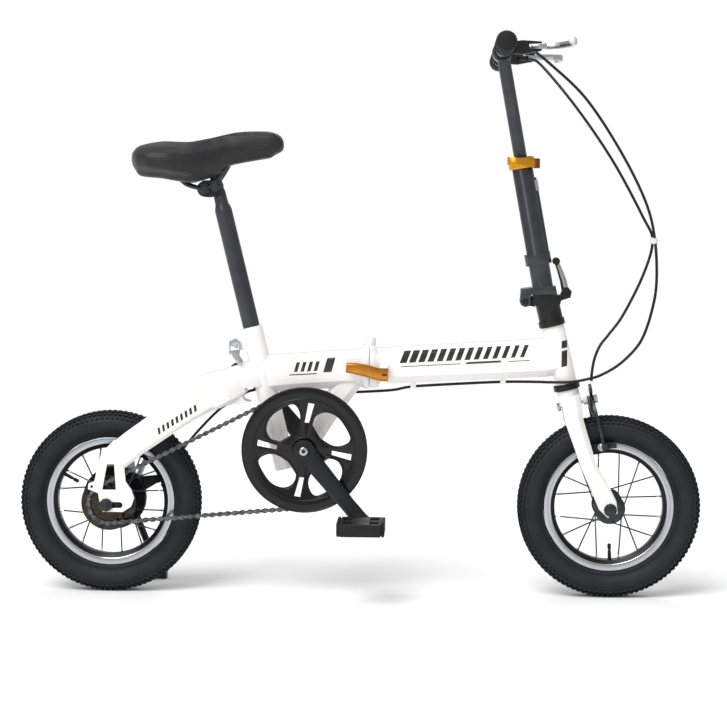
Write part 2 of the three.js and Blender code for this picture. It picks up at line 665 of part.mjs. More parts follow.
const slotDown = [-1, 1].map((side) => plate(
  [[413.3, 155], [418.5, 158], [423.7, 155], [431, 120], [420, 120]],
  ...(side < 0 ? [-60, -40] : [40, 60]),
));
const forkHead = joined([
  sideBar(crownTop, headStep(-36), crownRadius, 0, 12),
  sideBar(crownTop, steererTop, 13.5, 0, 12),
  blade(-1), blade(1),
]);
const caliperBolt = joined([
  boltPiece(-54, 12, 3), boltPiece(-56, -51, 6.5, 6), boltPiece(-12, -5.2, 6), boltPiece(6, 12, 6, 6),
]);
put("fork", "whitePaint", without(forkHead, ...slotDown).add(caliperBolt));

put("front_axle", "darkSteel", axle(frontCentre, 63, [36, 43.6], [51.4, 51.4], 7));

const stemFoot = headStep(98.8 + 9);
const stemNeck = headStep(98.8 + 42);
const collarTop = 506;
function latchEar(side) {
  const [near, far] = side < 0 ? [-14, -9.4] : [9.4, 14];
  return plate([[326, 494], [350, 502], [352, 512], [346, 519], [338, 519], [334, 506],
    [326, 506]], near, far);
}
const stemLatchPivot = [343, 511];
const stemBase = joined([
  crossBar(stemLatchPivot, -13, 13, 3),
  sideBar(stemFoot, stemNeck, 20, 0, 16),
  plate([[286, 489], [332, 489], [334, 496], [334, collarTop], [288, collarTop]], -22, 22),
  latchEar(-1), latchEar(1),
  plate([[268, 489], [292, 486], [292, 503], [268, 503]], -11, 11),
  crossBar(stemPivot, -11, 11, 9, 20),
]);
const stemPin = crossBar(stemPivot, -26, 26, 4, 12);
const upperCup = onHeadAxis(ringOf([0, 0], 22, 8, -5, 5, 16), headStep(98.8 + 5.4));
put("stem_base", "matteBlack", joined([stemBase, stemPin, upperCup]));

// Caliper brake over the front tyre.
// Each arm turns on the bolt through the crown; both ends meet the cable on the right.
function caliperArm(side, w0) {
  const outline = side < 0
    ? [[8, 5], [4, 15], [-44, 31], [-50, 25], [-46, 19], [-16, 9], [-32, -1], [-44, -19],
      [-45, -55], [-34, -72], [-28, -86], [-20, -86], [-20, -74], [-35, -50], [-35, -25],
      [-24, -11], [-6, -7], [4, -8]]
    : [[6, 7], [-8, 6], [-48, -17], [-50, -25], [-44, -27], [-10, -10], [22, -11], [34, -25],
      [35, -50], [20, -74], [20, -86], [28, -86], [34, -72], [45, -55], [44, -19], [30, 0]];
  const shape = new THREE.Shape(outline.map(([y, z]) => new THREE.Vector2(y, z)));
  const geometry = new THREE.ExtrudeGeometry(shape, { depth: 4.5, bevelEnabled: false });
  geometry.rotateX(Math.PI / 2);
  geometry.rotateZ(Math.PI / 2);
  geometry.translate(w0, 0, 0);
  const stud = rod([w0 - 1, side * 24, -79], [9, side * 24, -79], 5, 10);
  return joined([bodyOf(geometry), stud, block([4, side * 19, -79], [42, 6, 10], 0.1)]);
}
const boltRoom = rod([-20, 0, 0], [20, 0, 0], 3 + gap, 12);
for (const [side, name, w0] of [[-1, "right", 0.6], [1, "left", -4.6]]) {
  put(`caliper_arm_${name}`, "blackPaint", inCaliperPlane(without(caliperArm(side, w0), boltRoom)));
}

// --- Folding handlebar post ---

const postStep = (height) => [postFoot[0] - (height - postFoot[1]) * Math.tan(postLean), height];
const knuckleRoom = crossBar(stemPivot, -11 - gap, 11 + gap, 14, 20);
const postBase = joined([
  plate([[287, 506.4], [328, 506.4], [325, 521], [291, 521]], -20, 20),
  plate([[267, 496], [283, 496], [285, 506.4], [292, 506.4], [292, 519], [268, 516]], -20, 20),
  crossBar(stemPivot, -20, 20, 9, 20),
]);
const stemPinRoom = crossBar(stemPivot, -30, 30, 4 + gap, 16);
const postBore = sideBar(postStep(532), postStep(760), upperPostRadius + gap, 0, 16);
const postTube = sideBar(postStep(516), postStep(733), lowerPostRadius, 0, 16);
const rib = sideBar(postStep(570), postStep(700), 5, 0, 8).translate([16, 0, 0]);
const clipRing = sideBar(postStep(556), postStep(575), 22, 0, 16);
const stemFloor = plate([[240, 470], [350, 470], [350, 506.3], [240, 506.3]], -11 - gap, 11 + gap);
put("lower_post", "greyAnodised", without(
  joined([postBase, postTube, rib, clipRing]), knuckleRoom, stemFloor, stemPinRoom, postBore,
));

const clampTop = postStep(732);
const clampRing = sideBar(postStep(715), clampTop, 22, 0, 16);
const clampRoom = sideBar(postStep(700), postStep(750), lowerPostRadius + gap, 0, 16);
const clampNose = block([289, 0, 723], [16, 18, 14]);
const clampPinRoom = rod([291, 0, 700], [291, 0, 750], 3 + gap, 12);
put("post_clamp", "goldAnodised",
  without(clampRing.add(clampNose), clampRoom, clampPinRoom));
const clampLever = joined([
  cordLever([[291, -13, 723], [280, -24, 724], [262, -28, 725.5], [243, -22, 727]], 6.5, 4),
  rod([291, -13.6, 716.5], [291, -13.6, 729.5], 4, 12),
]);
put("post_clamp_lever", "goldAnodised", clampLever);

// A flat lever through 3-D points lying almost level: tall across Z, thin across its width.
function cordLever(points, halfHeight, thickness) {
  const rings = points.map(([x, y, z], i) => {
    const before = points[Math.max(i - 1, 0)];
    const after = points[Math.min(i + 1, points.length - 1)];
    const side = new THREE.Vector3(before[1] - after[1], after[0] - before[0], 0).normalize();
    return [[1, 1], [-1, 1], [-1, -1], [1, -1]].map(([u, v]) => new THREE.Vector3(x, y, z)
      .addScaledVector(side, (u * thickness) / 2)
      .add(new THREE.Vector3(0, 0, v * halfHeight)));
  });
  return loft(rings);
}

put("stem_latch", "polishedMetal", without(joined([
  beam([[342, 512, 12, 14, 4], [338, 530, 11, 13, 4], [331, 550, 9, 10, 3], [325.5, 563, 7, 8, 3]]),
  crossBar(stemLatchPivot, -9, 9, 7.5),
]), crossBar(stemLatchPivot, -20, 20, 3 + gap, 12)));

const upperTop = postStep(896);
const barCentre = postStep(906);
put("upper_post", "greyAnodised", without(joined([
  sideBar(postStep(665), upperTop, upperPostRadius, 0, 16),
  crossBar(barCentre, -21, 21, 17, 24),
]), crossBar(barCentre, -30, 30, upperPostRadius + gap, 20)));
put("handlebar", "greyAnodised",
  crossBar(barCentre, -barHalfWidth + 6, barHalfWidth - 6, upperPostRadius, 16));

for (const [side, name] of [[-1, "right"], [1, "left"]]) {
  const y = (v) => side * v;
  const grip = turned(barCentre, [
    [0, y(262)], [14, y(262)], [16.5, y(257)], [16.5, y(170)], [18, y(168)], [18, y(161)],
    [upperPostRadius + gap, y(161)], [upperPostRadius + gap, y(256.5)], [0, y(256.5)],
  ], 16);
  put(`grip_${name}`, "matteBlack", grip);
  const collar = crossBar(barCentre, y(122), y(140), 15, 14);
  const arm = plate([[232, 913], [262, 916], [292, 914], [292, 900], [262, 894], [232, 896]],
    ...(side < 0 ? [-140, -124] : [124, 140]));
  const slotForLever = plate([[272, 911], [300, 911], [300, 902.4], [272, 902.4]],
    ...(side < 0 ? [-150, -110] : [110, 150]));
  const leverPin = rod([284, y(134), 898], [284, y(134), 914], 2.5, 10);
  const barrel = rod([268, y(118), 904], [278, y(104), 903], 4.5, 12);
  const barrelArm = rod([266, y(126), 905], [269, y(117), 904.2], 6, 10);
  const barRoom = crossBar(barCentre, y(100), y(160), upperPostRadius + gap, 16);
  put(`lever_bracket_${name}`, "blackPaint",
    without(joined([without(joined([collar, arm]), slotForLever), leverPin, barrel, barrelArm]),
      barRoom));
  const blade = joined([
    cordLever([[276, y(132), 906.7], [300, y(136), 906.7]], 4, 12),
    cordLever([[298, y(136), 906.7], [322, y(146), 907.5], [336, y(168), 908.5],
      [340, y(205), 909], [334, y(240), 909]], 5, 7),
  ]);
  put(`brake_lever_${name}`, "polishedMetal",
    without(blade, rod([284, y(134), 880], [284, y(134), 930], 2.5 + gap, 10)));
}

// --- Brake cables ---

const joint = [484, -12, 597];
put("cable_front_upper", "cableBlack", cord([
  [279, 103, 903], [300, 74, 890], [358, 30, 817], [418, 4, 728], [468, -8, 636], joint,
], 2.4, 8, 11));
put("cable_front_lower", "cableBlack", cord([
  [483, -12.4, 594], [470, -17, 543], [437, -27, 476], [412, -34, 442], [398, -38, 424],
  [389, -41, 402], [385, -43, 379], [384.5, -44, 366],
], 2.4, 8, 11));
put("cable_rear_upper", "cableBlack", cord([
  [279, -103, 903], [306, -82, 884], [368, -50, 829], [427, -30, 745], [471, -20, 661],
  [487.5, -18, 597],
], 2.4, 8, 11));
put("cable_rear_lower", "cableBlack", cord([
  [488, -18, 594], [491, -18, 526], [482.7, -20, 476], [469, -22, 436], [452, -24, 412],
  [427, -26, 389.4], [398.7, -27, 373.5], [380, -27, 368],
], 2.4, 8, 12));
put("cable_rear_frame", "cableBlack", cord([
  [379.6, -27, 367.8], [361.7, -26, 363.9], [345, -25, 362], [318, -15, 360.8], [290, 0, 360],
  [240, 0, 359.5], [165, 0, 355.5], [90, 0, 350.3], [57, 2, 344], [22, 14, 340],
], 2.4, 8, 12));
put("cable_rear_end", "cableBlack", cord([
  [19, 15, 339.6], [-6, 21.5, 338], [-30, 22, 337.5], [-60, 22, 337], [-110, 22, 338.5],
  [-150, 24, 341], [-186, 24, 338], [-215, 26, 321], [-246, 32, 299], [-299, 44, 240],
  [-314, 48, 205], [-322, 51, 180], [-330, 52, 167], [-337, 52, 168], [-341, 52, 174],
], 2.4, 8, 16));

export default group;
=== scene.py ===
import math

import bpy
from mathutils import Matrix, Vector


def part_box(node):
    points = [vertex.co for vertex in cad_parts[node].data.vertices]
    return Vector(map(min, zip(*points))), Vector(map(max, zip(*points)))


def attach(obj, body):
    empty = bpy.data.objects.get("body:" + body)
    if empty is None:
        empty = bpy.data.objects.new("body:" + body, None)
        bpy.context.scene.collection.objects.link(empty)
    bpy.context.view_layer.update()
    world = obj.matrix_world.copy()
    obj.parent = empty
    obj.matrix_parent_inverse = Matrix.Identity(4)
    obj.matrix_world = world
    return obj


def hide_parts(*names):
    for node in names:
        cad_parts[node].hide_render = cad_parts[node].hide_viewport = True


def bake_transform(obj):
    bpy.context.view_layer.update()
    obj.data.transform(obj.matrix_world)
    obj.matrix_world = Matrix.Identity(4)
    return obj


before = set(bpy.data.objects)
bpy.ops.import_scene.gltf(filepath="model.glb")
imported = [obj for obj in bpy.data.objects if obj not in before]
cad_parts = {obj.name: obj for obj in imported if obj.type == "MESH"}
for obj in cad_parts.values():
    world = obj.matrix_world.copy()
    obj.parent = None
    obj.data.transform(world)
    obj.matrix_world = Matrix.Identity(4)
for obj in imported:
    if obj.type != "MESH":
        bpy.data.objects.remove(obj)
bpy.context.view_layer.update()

mm = 0.001
full = 2 * math.pi
alongY = Vector((0, 1, 0))

# the places that several pieces share, in millimetres
layout = {
    "rearAxle": (-418.5, 152.5),
    "frontAxle": (418.5, 152.5),
    "crank": (-89, 247),
    "chainY": -43,
    "ringPitch": 97.1,
    "cogPitch": 32.6,
}


def inMiddle(place):  # (X, Z) on the bicycle's middle plane
    return (place[0], 0, place[1])


def mirrored(half):  # a profile and its reflection across the middle plane
    return list(half) + [(r, -h) for r, h in reversed(half)]


def ramp(value, start, end):  # 0 at start, 1 at end, flat beyond both
    return max(0.0, min(1.0, (value - start) / (end - start)))


def linear(code):  # sRGB hex to the linear colour that a socket takes
    parts = [int(code[i:i + 2], 16) / 255 for i in (0, 2, 4)]
    return tuple(p / 12.92 if p <= 0.04045 else ((p + 0.055) / 1.055) ** 2.4 for p in parts) + (1.0,)


def addNode(tree, kind, settings=None, inputs=None):
    made = tree.nodes.new(kind)
    for key, value in (settings or {}).items():
        setattr(made, key, value)
    for key, value in (inputs or {}).items():
        if isinstance(value, bpy.types.NodeSocket):
            tree.links.new(value, made.inputs[key])
        else:
            made.inputs[key].default_value = value
    return made


def maths(tree, operation, first, second=0.0):
    return addNode(tree, "ShaderNodeMath", {"operation": operation}, {0: first, 1: second}).outputs[0]


def mixed(tree, factor, first, second):
    return addNode(tree, "ShaderNodeMix", {"data_type": "RGBA"}, {0: factor, 6: first, 7: second}).outputs[2]


def spread(tree, value, low, high, fromLow=0.3, fromHigh=0.7):
    return addNode(tree, "ShaderNodeMapRange", None, {
        "Value": value, "From Min": fromLow, "From Max": fromHigh, "To Min": low, "To Max": high}).outputs[0]


def noise(tree, vector, size, detail=3.0, rough=0.55):  # size of one blotch in mm
    return addNode(tree, "ShaderNodeTexNoise", None, {
        "Vector": vector, "Scale": 1 / (size * mm), "Detail": detail, "Roughness": rough}).outputs[0]


def begin(name, **fixed):  # a material with its shader, its Object coordinates and its fixed sockets
    material = bpy.data.materials.new(name)
    material.use_nodes = True
    tree = material.node_tree
    tree.nodes.clear()
    place = addNode(tree, "ShaderNodeTexCoord").outputs["Object"]
    shader = addNode(tree, "ShaderNodeBsdfPrincipled", None, fixed)
    addNode(tree, "ShaderNodeOutputMaterial", None, {"Surface": shader.outputs[0]})
    return material, tree, place, shader


def join(tree, shader, **sockets):
    for key, value in sockets.items():
        tree.links.new(value, shader.inputs[key.replace("_", " ")])


def bump(tree, height, depth, strength=1.0, normal=None):  # depth in mm
    inputs = {"Height": height, "Distance": depth * mm, "Strength": strength}
    if normal is not None:
        inputs["Normal"] = normal
    return addNode(tree, "ShaderNodeBump", None, inputs).outputs[0]


def blendOf(tree, first, second, share):  # a weighted sum of two values
    return maths(tree, "ADD", maths(tree, "MULTIPLY", first, share), maths(tree, "MULTIPLY", second, 1 - share))


def panel(tree, u, v, left, right, low, high, slant):  # a slanted bar of a painted graphic, sizes in mm
    def within(value, start, end):
        return maths(tree, "MULTIPLY", maths(tree, "GREATER_THAN", value, start * mm),
                     maths(tree, "LESS_THAN", value, end * mm))

    shifted = maths(tree, "SUBTRACT", u, maths(tree, "MULTIPLY", v, slant))
    return maths(tree, "MULTIPLY", within(shifted, left, right), within(v, low, high))


def enamel(name, panels=(), turn=(0, 0, 0), origin=(0, 0, 0)):
    # white stoved enamel on welded steel: even, glossy, a trace of orange peel and settled dust,
    # with plain cut vinyl bars under the clear coat
    material, tree, place, shader = begin(name, Metallic=0.0, IOR=1.5)
    shader.inputs["Coat Weight"].default_value = 0.45
    shader.inputs["Coat Roughness"].default_value = 0.07
    tint = noise(tree, place, 90, 2)
    colour = mixed(tree, spread(tree, tint, 0.0, 1.0), linear("F6F4F1"), linear("EFEDE9"))
    dust = noise(tree, place, 3.2, 5, 0.7)
    colour = mixed(tree, spread(tree, dust, 0.0, 0.06, 0.58, 0.8), colour, linear("C4C0B8"))
    if panels:
        mapped = addNode(tree, "ShaderNodeMapping", {"vector_type": "TEXTURE"}, {
            "Vector": place, "Location": tuple(c * mm for c in origin), "Rotation": turn}).outputs[0]
        parts = addNode(tree, "ShaderNodeSeparateXYZ", None, {0: mapped})
        ink = None
        for entry in panels:
            one = panel(tree, parts.outputs[0], parts.outputs[2], *entry)
            ink = one if ink is None else maths(tree, "MAXIMUM", ink, one)
        colour = mixed(tree, ink, colour, linear("17171A"))
    peel = noise(tree, place, 2.4, 2, 0.5)
    join(tree, shader, Base_Color=colour,
         Roughness=spread(tree, noise(tree, place, 14, 4), 0.2, 0.34),
         Normal=bump(tree, peel, 0.03, 0.35))
    return material


def coated(name, light, dark, low, high, grain, depth,
           metal=0.0, coat=0.0, blotch=25, bumpPower=0.6, shine=0.5):
    # one base for dense plastics, powder coats and rubbers: two tones, grain and uneven gloss
    material, tree, place, shader = begin(name, Metallic=metal)
    shader.inputs["Specular IOR Level"].default_value = shine
    shader.inputs["Coat Weight"].default_value = coat
    shader.inputs["Coat Roughness"].default_value = 0.12
    fine = noise(tree, place, grain, 4, 0.6)
    wide = noise(tree, place, blotch, 3)
    join(tree, shader,
         Base_Color=mixed(tree, spread(tree, wide, 0.0, 1.0), linear(light), linear(dark)),
         Roughness=spread(tree, blendOf(tree, fine, wide, 0.5), low, high),
         Normal=bump(tree, fine, depth, bumpPower))
    return material


def turnedMetal(name, light, dark, low, high, centre, ring, depth=0.02):
    # alloy cut on a lathe: fine rings round the axle, smudged gloss
    material, tree, place, shader = begin(name, Metallic=1.0)
    parts = addNode(tree, "ShaderNodeSeparateXYZ", None, {0: place})
    across = maths(tree, "SUBTRACT", parts.outputs[0], centre[0] * mm)
    up = maths(tree, "SUBTRACT", parts.outputs[2], centre[1] * mm)
    squares = [maths(tree, "MULTIPLY", value, value) for value in (across, up)]
    radius = maths(tree, "SQRT", maths(tree, "ADD", *squares))
    vector = addNode(tree, "ShaderNodeCombineXYZ", None, {0: radius, 1: parts.outputs[1]}).outputs[0]
    lines = noise(tree, vector, ring, 2, 0.6)
    smudge = noise(tree, place, 18, 4)
    join(tree, shader,
         Base_Color=mixed(tree, spread(tree, lines, 0.0, 1.0), linear(light), linear(dark)),
         Roughness=spread(tree, blendOf(tree, lines, smudge, 0.6), low, high),
         Normal=bump(tree, lines, depth, 0.5))
    return material


def saddleCover(name):
    # stretched black vinyl with pressed cells, a little dull between them, with a painted sheen: the colour is
    # painted lighter grey between the cells; the cells are 3.8 mm across, coarse enough to show
    material, tree, place, shader = begin(name, Metallic=0.0)
    shader.inputs["Specular IOR Level"].default_value = 0.35
    shader.inputs["Sheen Weight"].default_value = 0.08
    shader.inputs["Sheen Roughness"].default_value = 0.5
    cells = addNode(tree, "ShaderNodeTexVoronoi", {"feature": "F1"}, {
        "Vector": place, "Scale": 1 / (3.8 * mm), "Randomness": 0.25})
    hollow = spread(tree, cells.outputs["Distance"], 0.0, 1.0, 0.12, 0.55)
    grain = noise(tree, place, 0.9, 3)
    wide = noise(tree, place, 40, 3)
    colour = mixed(tree, spread(tree, wide, 0.0, 1.0), linear("121213"), linear("0C0C0D"))
    # painted sheen: a lighter grey mixed in between the cells stands in for the vinyl's reflections
    colour = mixed(tree, maths(tree, "MULTIPLY", hollow, 0.75), colour, linear("232326"))
    join(tree, shader, Base_Color=colour,
         Roughness=spread(tree, hollow, 0.3, 0.52, 0, 1),
         Normal=bump(tree, grain, 0.05, 0.4, bump(tree, hollow, 0.45, 0.8)))
    return material


whitePaint = enamel("stovedWhiteEnamel")
# plain slanted bars, each a little narrower than the one before, over thin lines
beamMark = {"bars": 14, "start": -6, "step": 15.4, "width": 11.6, "loss": 0.36, "slant": 0.45}
beamBars = [(beamMark["start"] + beamMark["step"] * k,
             beamMark["start"] + beamMark["width"] + (beamMark["step"] - beamMark["loss"]) * k,
             -2, 18, beamMark["slant"]) for k in range(beamMark["bars"])]
beamLines = [(-2, 98, -8.6, -7.2, 0.3), (108, 166, -9, -5.5, 0.6), (176, 212, -8.6, -7.2, 0.3)]
beamPaint = enamel("whiteEnamelBeamStripes", beamBars + beamLines, (0, -0.058, 0), (74, 0, 393))
rearBars = [(start, start + 6, -4, 12, 0.35) for start in (4, 15, 26, 37)]
rearPaint = enamel("whiteEnamelRearMark", rearBars + [(54, 68, -7, 17, 0.35), (-2, 44, -9.5, -7.5, 0.35)],
                   (0, -0.06, 0), (-112, 0, 378))
armPaint = enamel("whiteEnamelArmMark", [(8.6 * k, 4.4 + 8.6 * k, -5, 5, 0.4) for k in range(9)],
                  (0, -0.56, 0), (-332, 0, 276))
headPaint = enamel("whiteEnamelHeadMark", [(-5, 5, -22, 4, 0.25), (-5, 5, 8, 20, 0.25)],
                   (0, -0.24, 0), (341, 0, 410))
# black finishes reflect this much less than bare plastic, because they are matted
matted = 0.28
# powder coat over steel tube, baked: fine grain, a soft sheen along the tube
postCoat = coated("satinGreyPowderCoat", "45474C", "3A3C41", 0.24, 0.36, 0.7, 0.03,
                  metal=0.55, coat=0.12, shine=0.3)
# powder coat over cast and pressed steel: fine grain, satin
blackCoat = coated("satinBlackPowderCoat", "1B1B1D", "141416", 0.3, 0.48, 0.6, 0.04, shine=matted)
# ABS from a polished mould: deep black, clear highlights
glossPlastic = coated("glossBlackMouldedPlastic", "09090A", "050506", 0.14, 0.26, 1.4, 0.015,
                      coat=0.2, shine=matted)
# nylon from an etched mould: visible grain, no clear highlight
mattePlastic = coated("grainedBlackPlastic", "1A1A1C", "131315", 0.42, 0.62, 0.5, 0.06, shine=matted)
# vulcanised tyre rubber: dull, dusty grey black
tyreRubber = coated("tyreRubberMoulded", "202427", "181B1E", 0.55, 0.75, 0.8, 0.07, blotch=32, shine=matted)
# soft moulded grip rubber: dull, a little darker than the tyre
gripRubber = coated("softGripRubber", "1D1D1F", "161618", 0.55, 0.75, 0.7, 0.07, shine=matted)
# extruded PVC cable sleeve: smooth, half gloss
sleeve = coated("cableSleeveExtruded", "161617", "101011", 0.3, 0.42, 1.1, 0.02, shine=matted)
# forged aluminium, blasted and anodised: coloured metal with a fine blast
gold = coated("goldAnodisedForging", "CF8A38", "B8742B", 0.24, 0.38, 0.6, 0.03, metal=1.0, blotch=12)
# machined aluminium clamp, anodised a lighter yellow
amber = coated("amberAnodisedClamp", "E5A634", "CF8E22", 0.2, 0.34, 0.6, 0.03, metal=1.0, blotch=12)
# bronze-coloured pivot pin, turned: dull brown metal
brownPin = coated("bronzedPivotPin", "7A5530", "5F4022", 0.32, 0.48, 0.6, 0.03, metal=1.0)
# zinc-plated pressed steel: light, cloudy metal
steel = coated("zincPlatedSteel", "C9CBCE", "A9ACB0", 0.2, 0.36, 0.5, 0.02, metal=1.0, blotch=9)
# polished and chromed: nearly a mirror, with faint smudges
polished = coated("polishedChromeSteel", "C6C8CC", "B2B5BA", 0.16, 0.3, 0.8, 0.01, metal=1.0, blotch=16)
# plain steel under oil: dark metal, uneven gloss
darkSteel = coated("oiledDarkSteel", "4A4B4E", "37383A", 0.3, 0.5, 0.5, 0.03, metal=1.0, blotch=7)
# stamped chain plates under oil: grey with dark stains
chainSteel = coated("oiledChainSteel", "77787B", "3C3D40", 0.26, 0.46, 0.5, 0.03, metal=1.0, blotch=6)
# heat-blackened steel that turned brown: sprocket and hub disc
olive = coated("bronzedSprocketSteel", "4A463A", "2E2C26", 0.32, 0.5, 0.5, 0.03, metal=1.0, blotch=10)
# undyed nylon: off-white, slightly waxy
clipWhite = coated("whiteNylonClip", "E4E3DF", "D5D3CE", 0.35, 0.5, 0.8, 0.03)
# forged crank under black paint: a trace of metal in the gloss
crankPaint = coated("satinBlackForging", "1B1C1F", "131416", 0.3, 0.46, 0.6, 0.04,
                    metal=0.2, coat=0.15, shine=matted)
# bare rim flanks, turned bright: fine rings round each axle
rimRear = turnedMetal("turnedRimAlloyRear", "C9CCD0", "A3A7AC", 0.12, 0.28, layout["rearAxle"], 0.7)
rimFront = turnedMetal("turnedRimAlloyFront", "C9CCD0", "A3A7AC", 0.12, 0.28, layout["frontAxle"], 0.7)
# rim well, anodised black: dark metal, half gloss
wellBlack = coated("anodisedBlackRimWell", "1C1C1F", "131315", 0.25, 0.42, 0.8, 0.02, metal=0.6)
# painted cast drum: dark grey, slightly coarse
drumBlack = coated("blackBrakeDrum", "242528", "1A1B1D", 0.3, 0.48, 0.7, 0.04, metal=0.5, shine=matted)
vinyl = saddleCover("saddleVinylPressed")
print("materials made")


def clear():
    if bpy.context.object and bpy.context.object.mode != "OBJECT":
        bpy.ops.object.mode_set(mode="OBJECT")
    bpy.ops.object.select_all(action="DESELECT")


def choose(obj, edit=False):
    clear()
    obj.select_set(True)
    bpy.context.view_layer.objects.active = obj
    if edit:
        bpy.ops.object.mode_set(mode="EDIT")
        bpy.ops.mesh.select_all(action="SELECT")


def linked(name, data):  # a new object in the scene
    obj = bpy.data.objects.new(name, data)
    bpy.context.scene.collection.objects.link(obj)
    return obj


def settle(obj, angle=35, merge=0.00001):  # merged, facing outwards, smooth below the angle
    choose(obj, True)
    bpy.ops.mesh.remove_doubles(threshold=merge)
    bpy.ops.mesh.normals_make_consistent(inside=False)
    bpy.ops.object.mode_set(mode="OBJECT")
    bpy.ops.object.shade_smooth_by_angle(angle=math.radians(angle))
    return obj


def applied(obj, kind, **settings):
    choose(obj)
    modifier = obj.modifiers.new(kind.lower(), kind)
    for key, value in settings.items():
        setattr(modifier, key, value)
    bpy.ops.object.modifier_apply(modifier=modifier.name)
    return obj


def rounded(obj, width, segments=2, angle=35):
    return applied(obj, "BEVEL", width=width * mm, segments=segments,
                   limit_method="ANGLE", angle_limit=math.radians(angle))


def put(obj, body, material, slot, *nodes):
    obj.data.materials.clear()
    obj.data.materials.append(material)
    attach(obj, body)
    if nodes:
        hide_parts(*nodes)
    return obj


def joined(name, parts):
    clear()
    for part in parts:
        part.select_set(True)
    bpy.context.view_layer.objects.active = parts[0]
    bpy.ops.object.join()
    parts[0].name = name
    return parts[0]


def drawn(name, points):  # a chain of edges through the points, in mm
    clear()
    bpy.ops.mesh.primitive_plane_add(size=0.001, location=(0, 0, 0))
    obj = bpy.context.object
    obj.name = name
    bpy.ops.object.mode_set(mode="EDIT")
    bpy.ops.mesh.select_all(action="SELECT")
    bpy.ops.mesh.merge(type="CENTER")
    places = [Vector(p) * mm for p in points]
    bpy.ops.transform.translate(value=places[0])
    for start, end in zip(places, places[1:]):
        bpy.ops.mesh.extrude_region_move(TRANSFORM_OT_translate={"value": end - start})
    bpy.ops.mesh.select_all(action="SELECT")
    return obj


def spun(name, profile, centre, axis=alongY, steps=64, angle=35, ring=True):
    # profile of (radius, distance along the axis) turned once round
    axis = Vector(axis).normalized()
    side = Vector((1, 0, 0)) if abs(axis.x) < 0.9 else Vector((0, 0, 1))
    side = (side - axis * side.dot(axis)).normalized()
    centre = Vector(centre)
    outline = list(profile) + ([profile[0]] if ring else [])
    obj = drawn(name, [centre + side * r + axis * h for r, h in outline])
    bpy.ops.mesh.spin(steps=steps, angle=full, center=centre * mm, axis=axis)
    bpy.ops.object.mode_set(mode="OBJECT")
    return settle(obj, angle)


def slab(name, outline, push, bevel=0.0, segments=2):  # a flat outline of points pushed into a plate
    obj = drawn(name, outline)
    bpy.ops.mesh.edge_face_add()
    bpy.ops.mesh.select_all(action="SELECT")
    bpy.ops.mesh.extrude_region_move(TRANSFORM_OT_translate={"value": Vector(push) * mm})
    bpy.ops.object.mode_set(mode="OBJECT")
    settle(obj)
    if bevel:
        rounded(obj, bevel, segments)
        settle(obj)
    return obj


def repeated(obj, count, centre):  # copies of the whole mesh round an axis along Y
    choose(obj, True)
    bpy.ops.mesh.spin(steps=count - 1, dupli=True, angle=full * (count - 1) / count,
                      center=Vector(centre) * mm, axis=alongY)
    bpy.ops.object.mode_set(mode="OBJECT")
    return obj


def smoothRoute(points, steps=8):  # a curve through the points, sampled evenly between them
    places = [Vector(p) for p in points]
    places = [places[0] * 2 - places[1]] + places + [places[-1] * 2 - places[-2]]
    route = []
    for a, b, c, d in zip(places, places[1:], places[2:], places[3:]):
        for k in range(steps):
            t = k / steps
            bend, twist = 2 * a - 5 * b + 4 * c - d, 3 * b - a - 3 * c + d
            route.append(0.5 * (2 * b + (c - a) * t + bend * t * t + twist * t ** 3))
    return route + [places[-2]]


def swept(name, points, radius, sides=3, closed=False, taper=None, angle=40):
    clear()
    bpy.ops.curve.primitive_nurbs_path_add(location=(0, 0, 0))
    obj = bpy.context.object
    obj.name = name
    curve = obj.data
    curve.splines.clear()
    spline = curve.splines.new("POLY")
    spline.points.add(len(points) - 1)
    for k, p in enumerate(points):
        spline.points[k].co = (p[0] * mm, p[1] * mm, p[2] * mm, 1)
        spline.points[k].radius = taper(k / (len(points) - 1)) if taper else 1
    spline.use_cyclic_u = closed
    curve.dimensions = "3D"
    curve.bevel_depth = radius * mm
    curve.bevel_resolution = sides
    curve.use_fill_caps = not closed
    bpy.ops.object.convert(target="MESH")
    return settle(bpy.context.object, angle)


def refined(name, cadNode, body, material, slot, bevel, segments=2):
    # a copy of the CAD solid with its edges broken, as a casting or a bent tube has
    clear()
    obj = linked(name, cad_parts[cadNode].data.copy())
    choose(obj, True)
    bpy.ops.mesh.remove_doubles(threshold=0.000002)
    bpy.ops.mesh.dissolve_limited(angle_limit=math.radians(0.6))
    bpy.ops.mesh.normals_make_consistent(inside=False)
    bpy.ops.object.mode_set(mode="OBJECT")
    rounded(obj, bevel, segments, 33)
    choose(obj)
    bpy.ops.object.shade_smooth_by_angle(angle=math.radians(38))
    return put(obj, body, material, slot, cadNode)


def polar(centre, radius, turn, y):
    return (centre[0] + radius * math.cos(turn), y, centre[1] + radius * math.sin(turn))


# tyre with its moulded blocks
tyre = {
    "profile": [(108.6, 11.5), (110.5, 12.6), (113.2, 13.7), (114.8, 17.2), (115.6, 17.2), (116.4, 18.6), (120, 22.2),
                (126, 25.1), (131, 25.4), (133.4, 25.4), (134.2, 24.6), (135.2, 24.9), (139, 23.2), (143.5, 20.4),
                (147, 16), (149.2, 9.5), (150, 3)],
    # each row: across, radius, half width, half length, share of a step it is turned by
    "rows": [(0.0, 151.2, 3.6, 2.7, 0.0), (8.3, 150.7, 3.1, 2.9, 0.5),
             (16.2, 147.4, 3.2, 2.9, 0.0), (22.2, 141.6, 2.9, 2.5, 0.5)],
    "count": 104, "halfHigh": 1.3, "crown": 34,
}


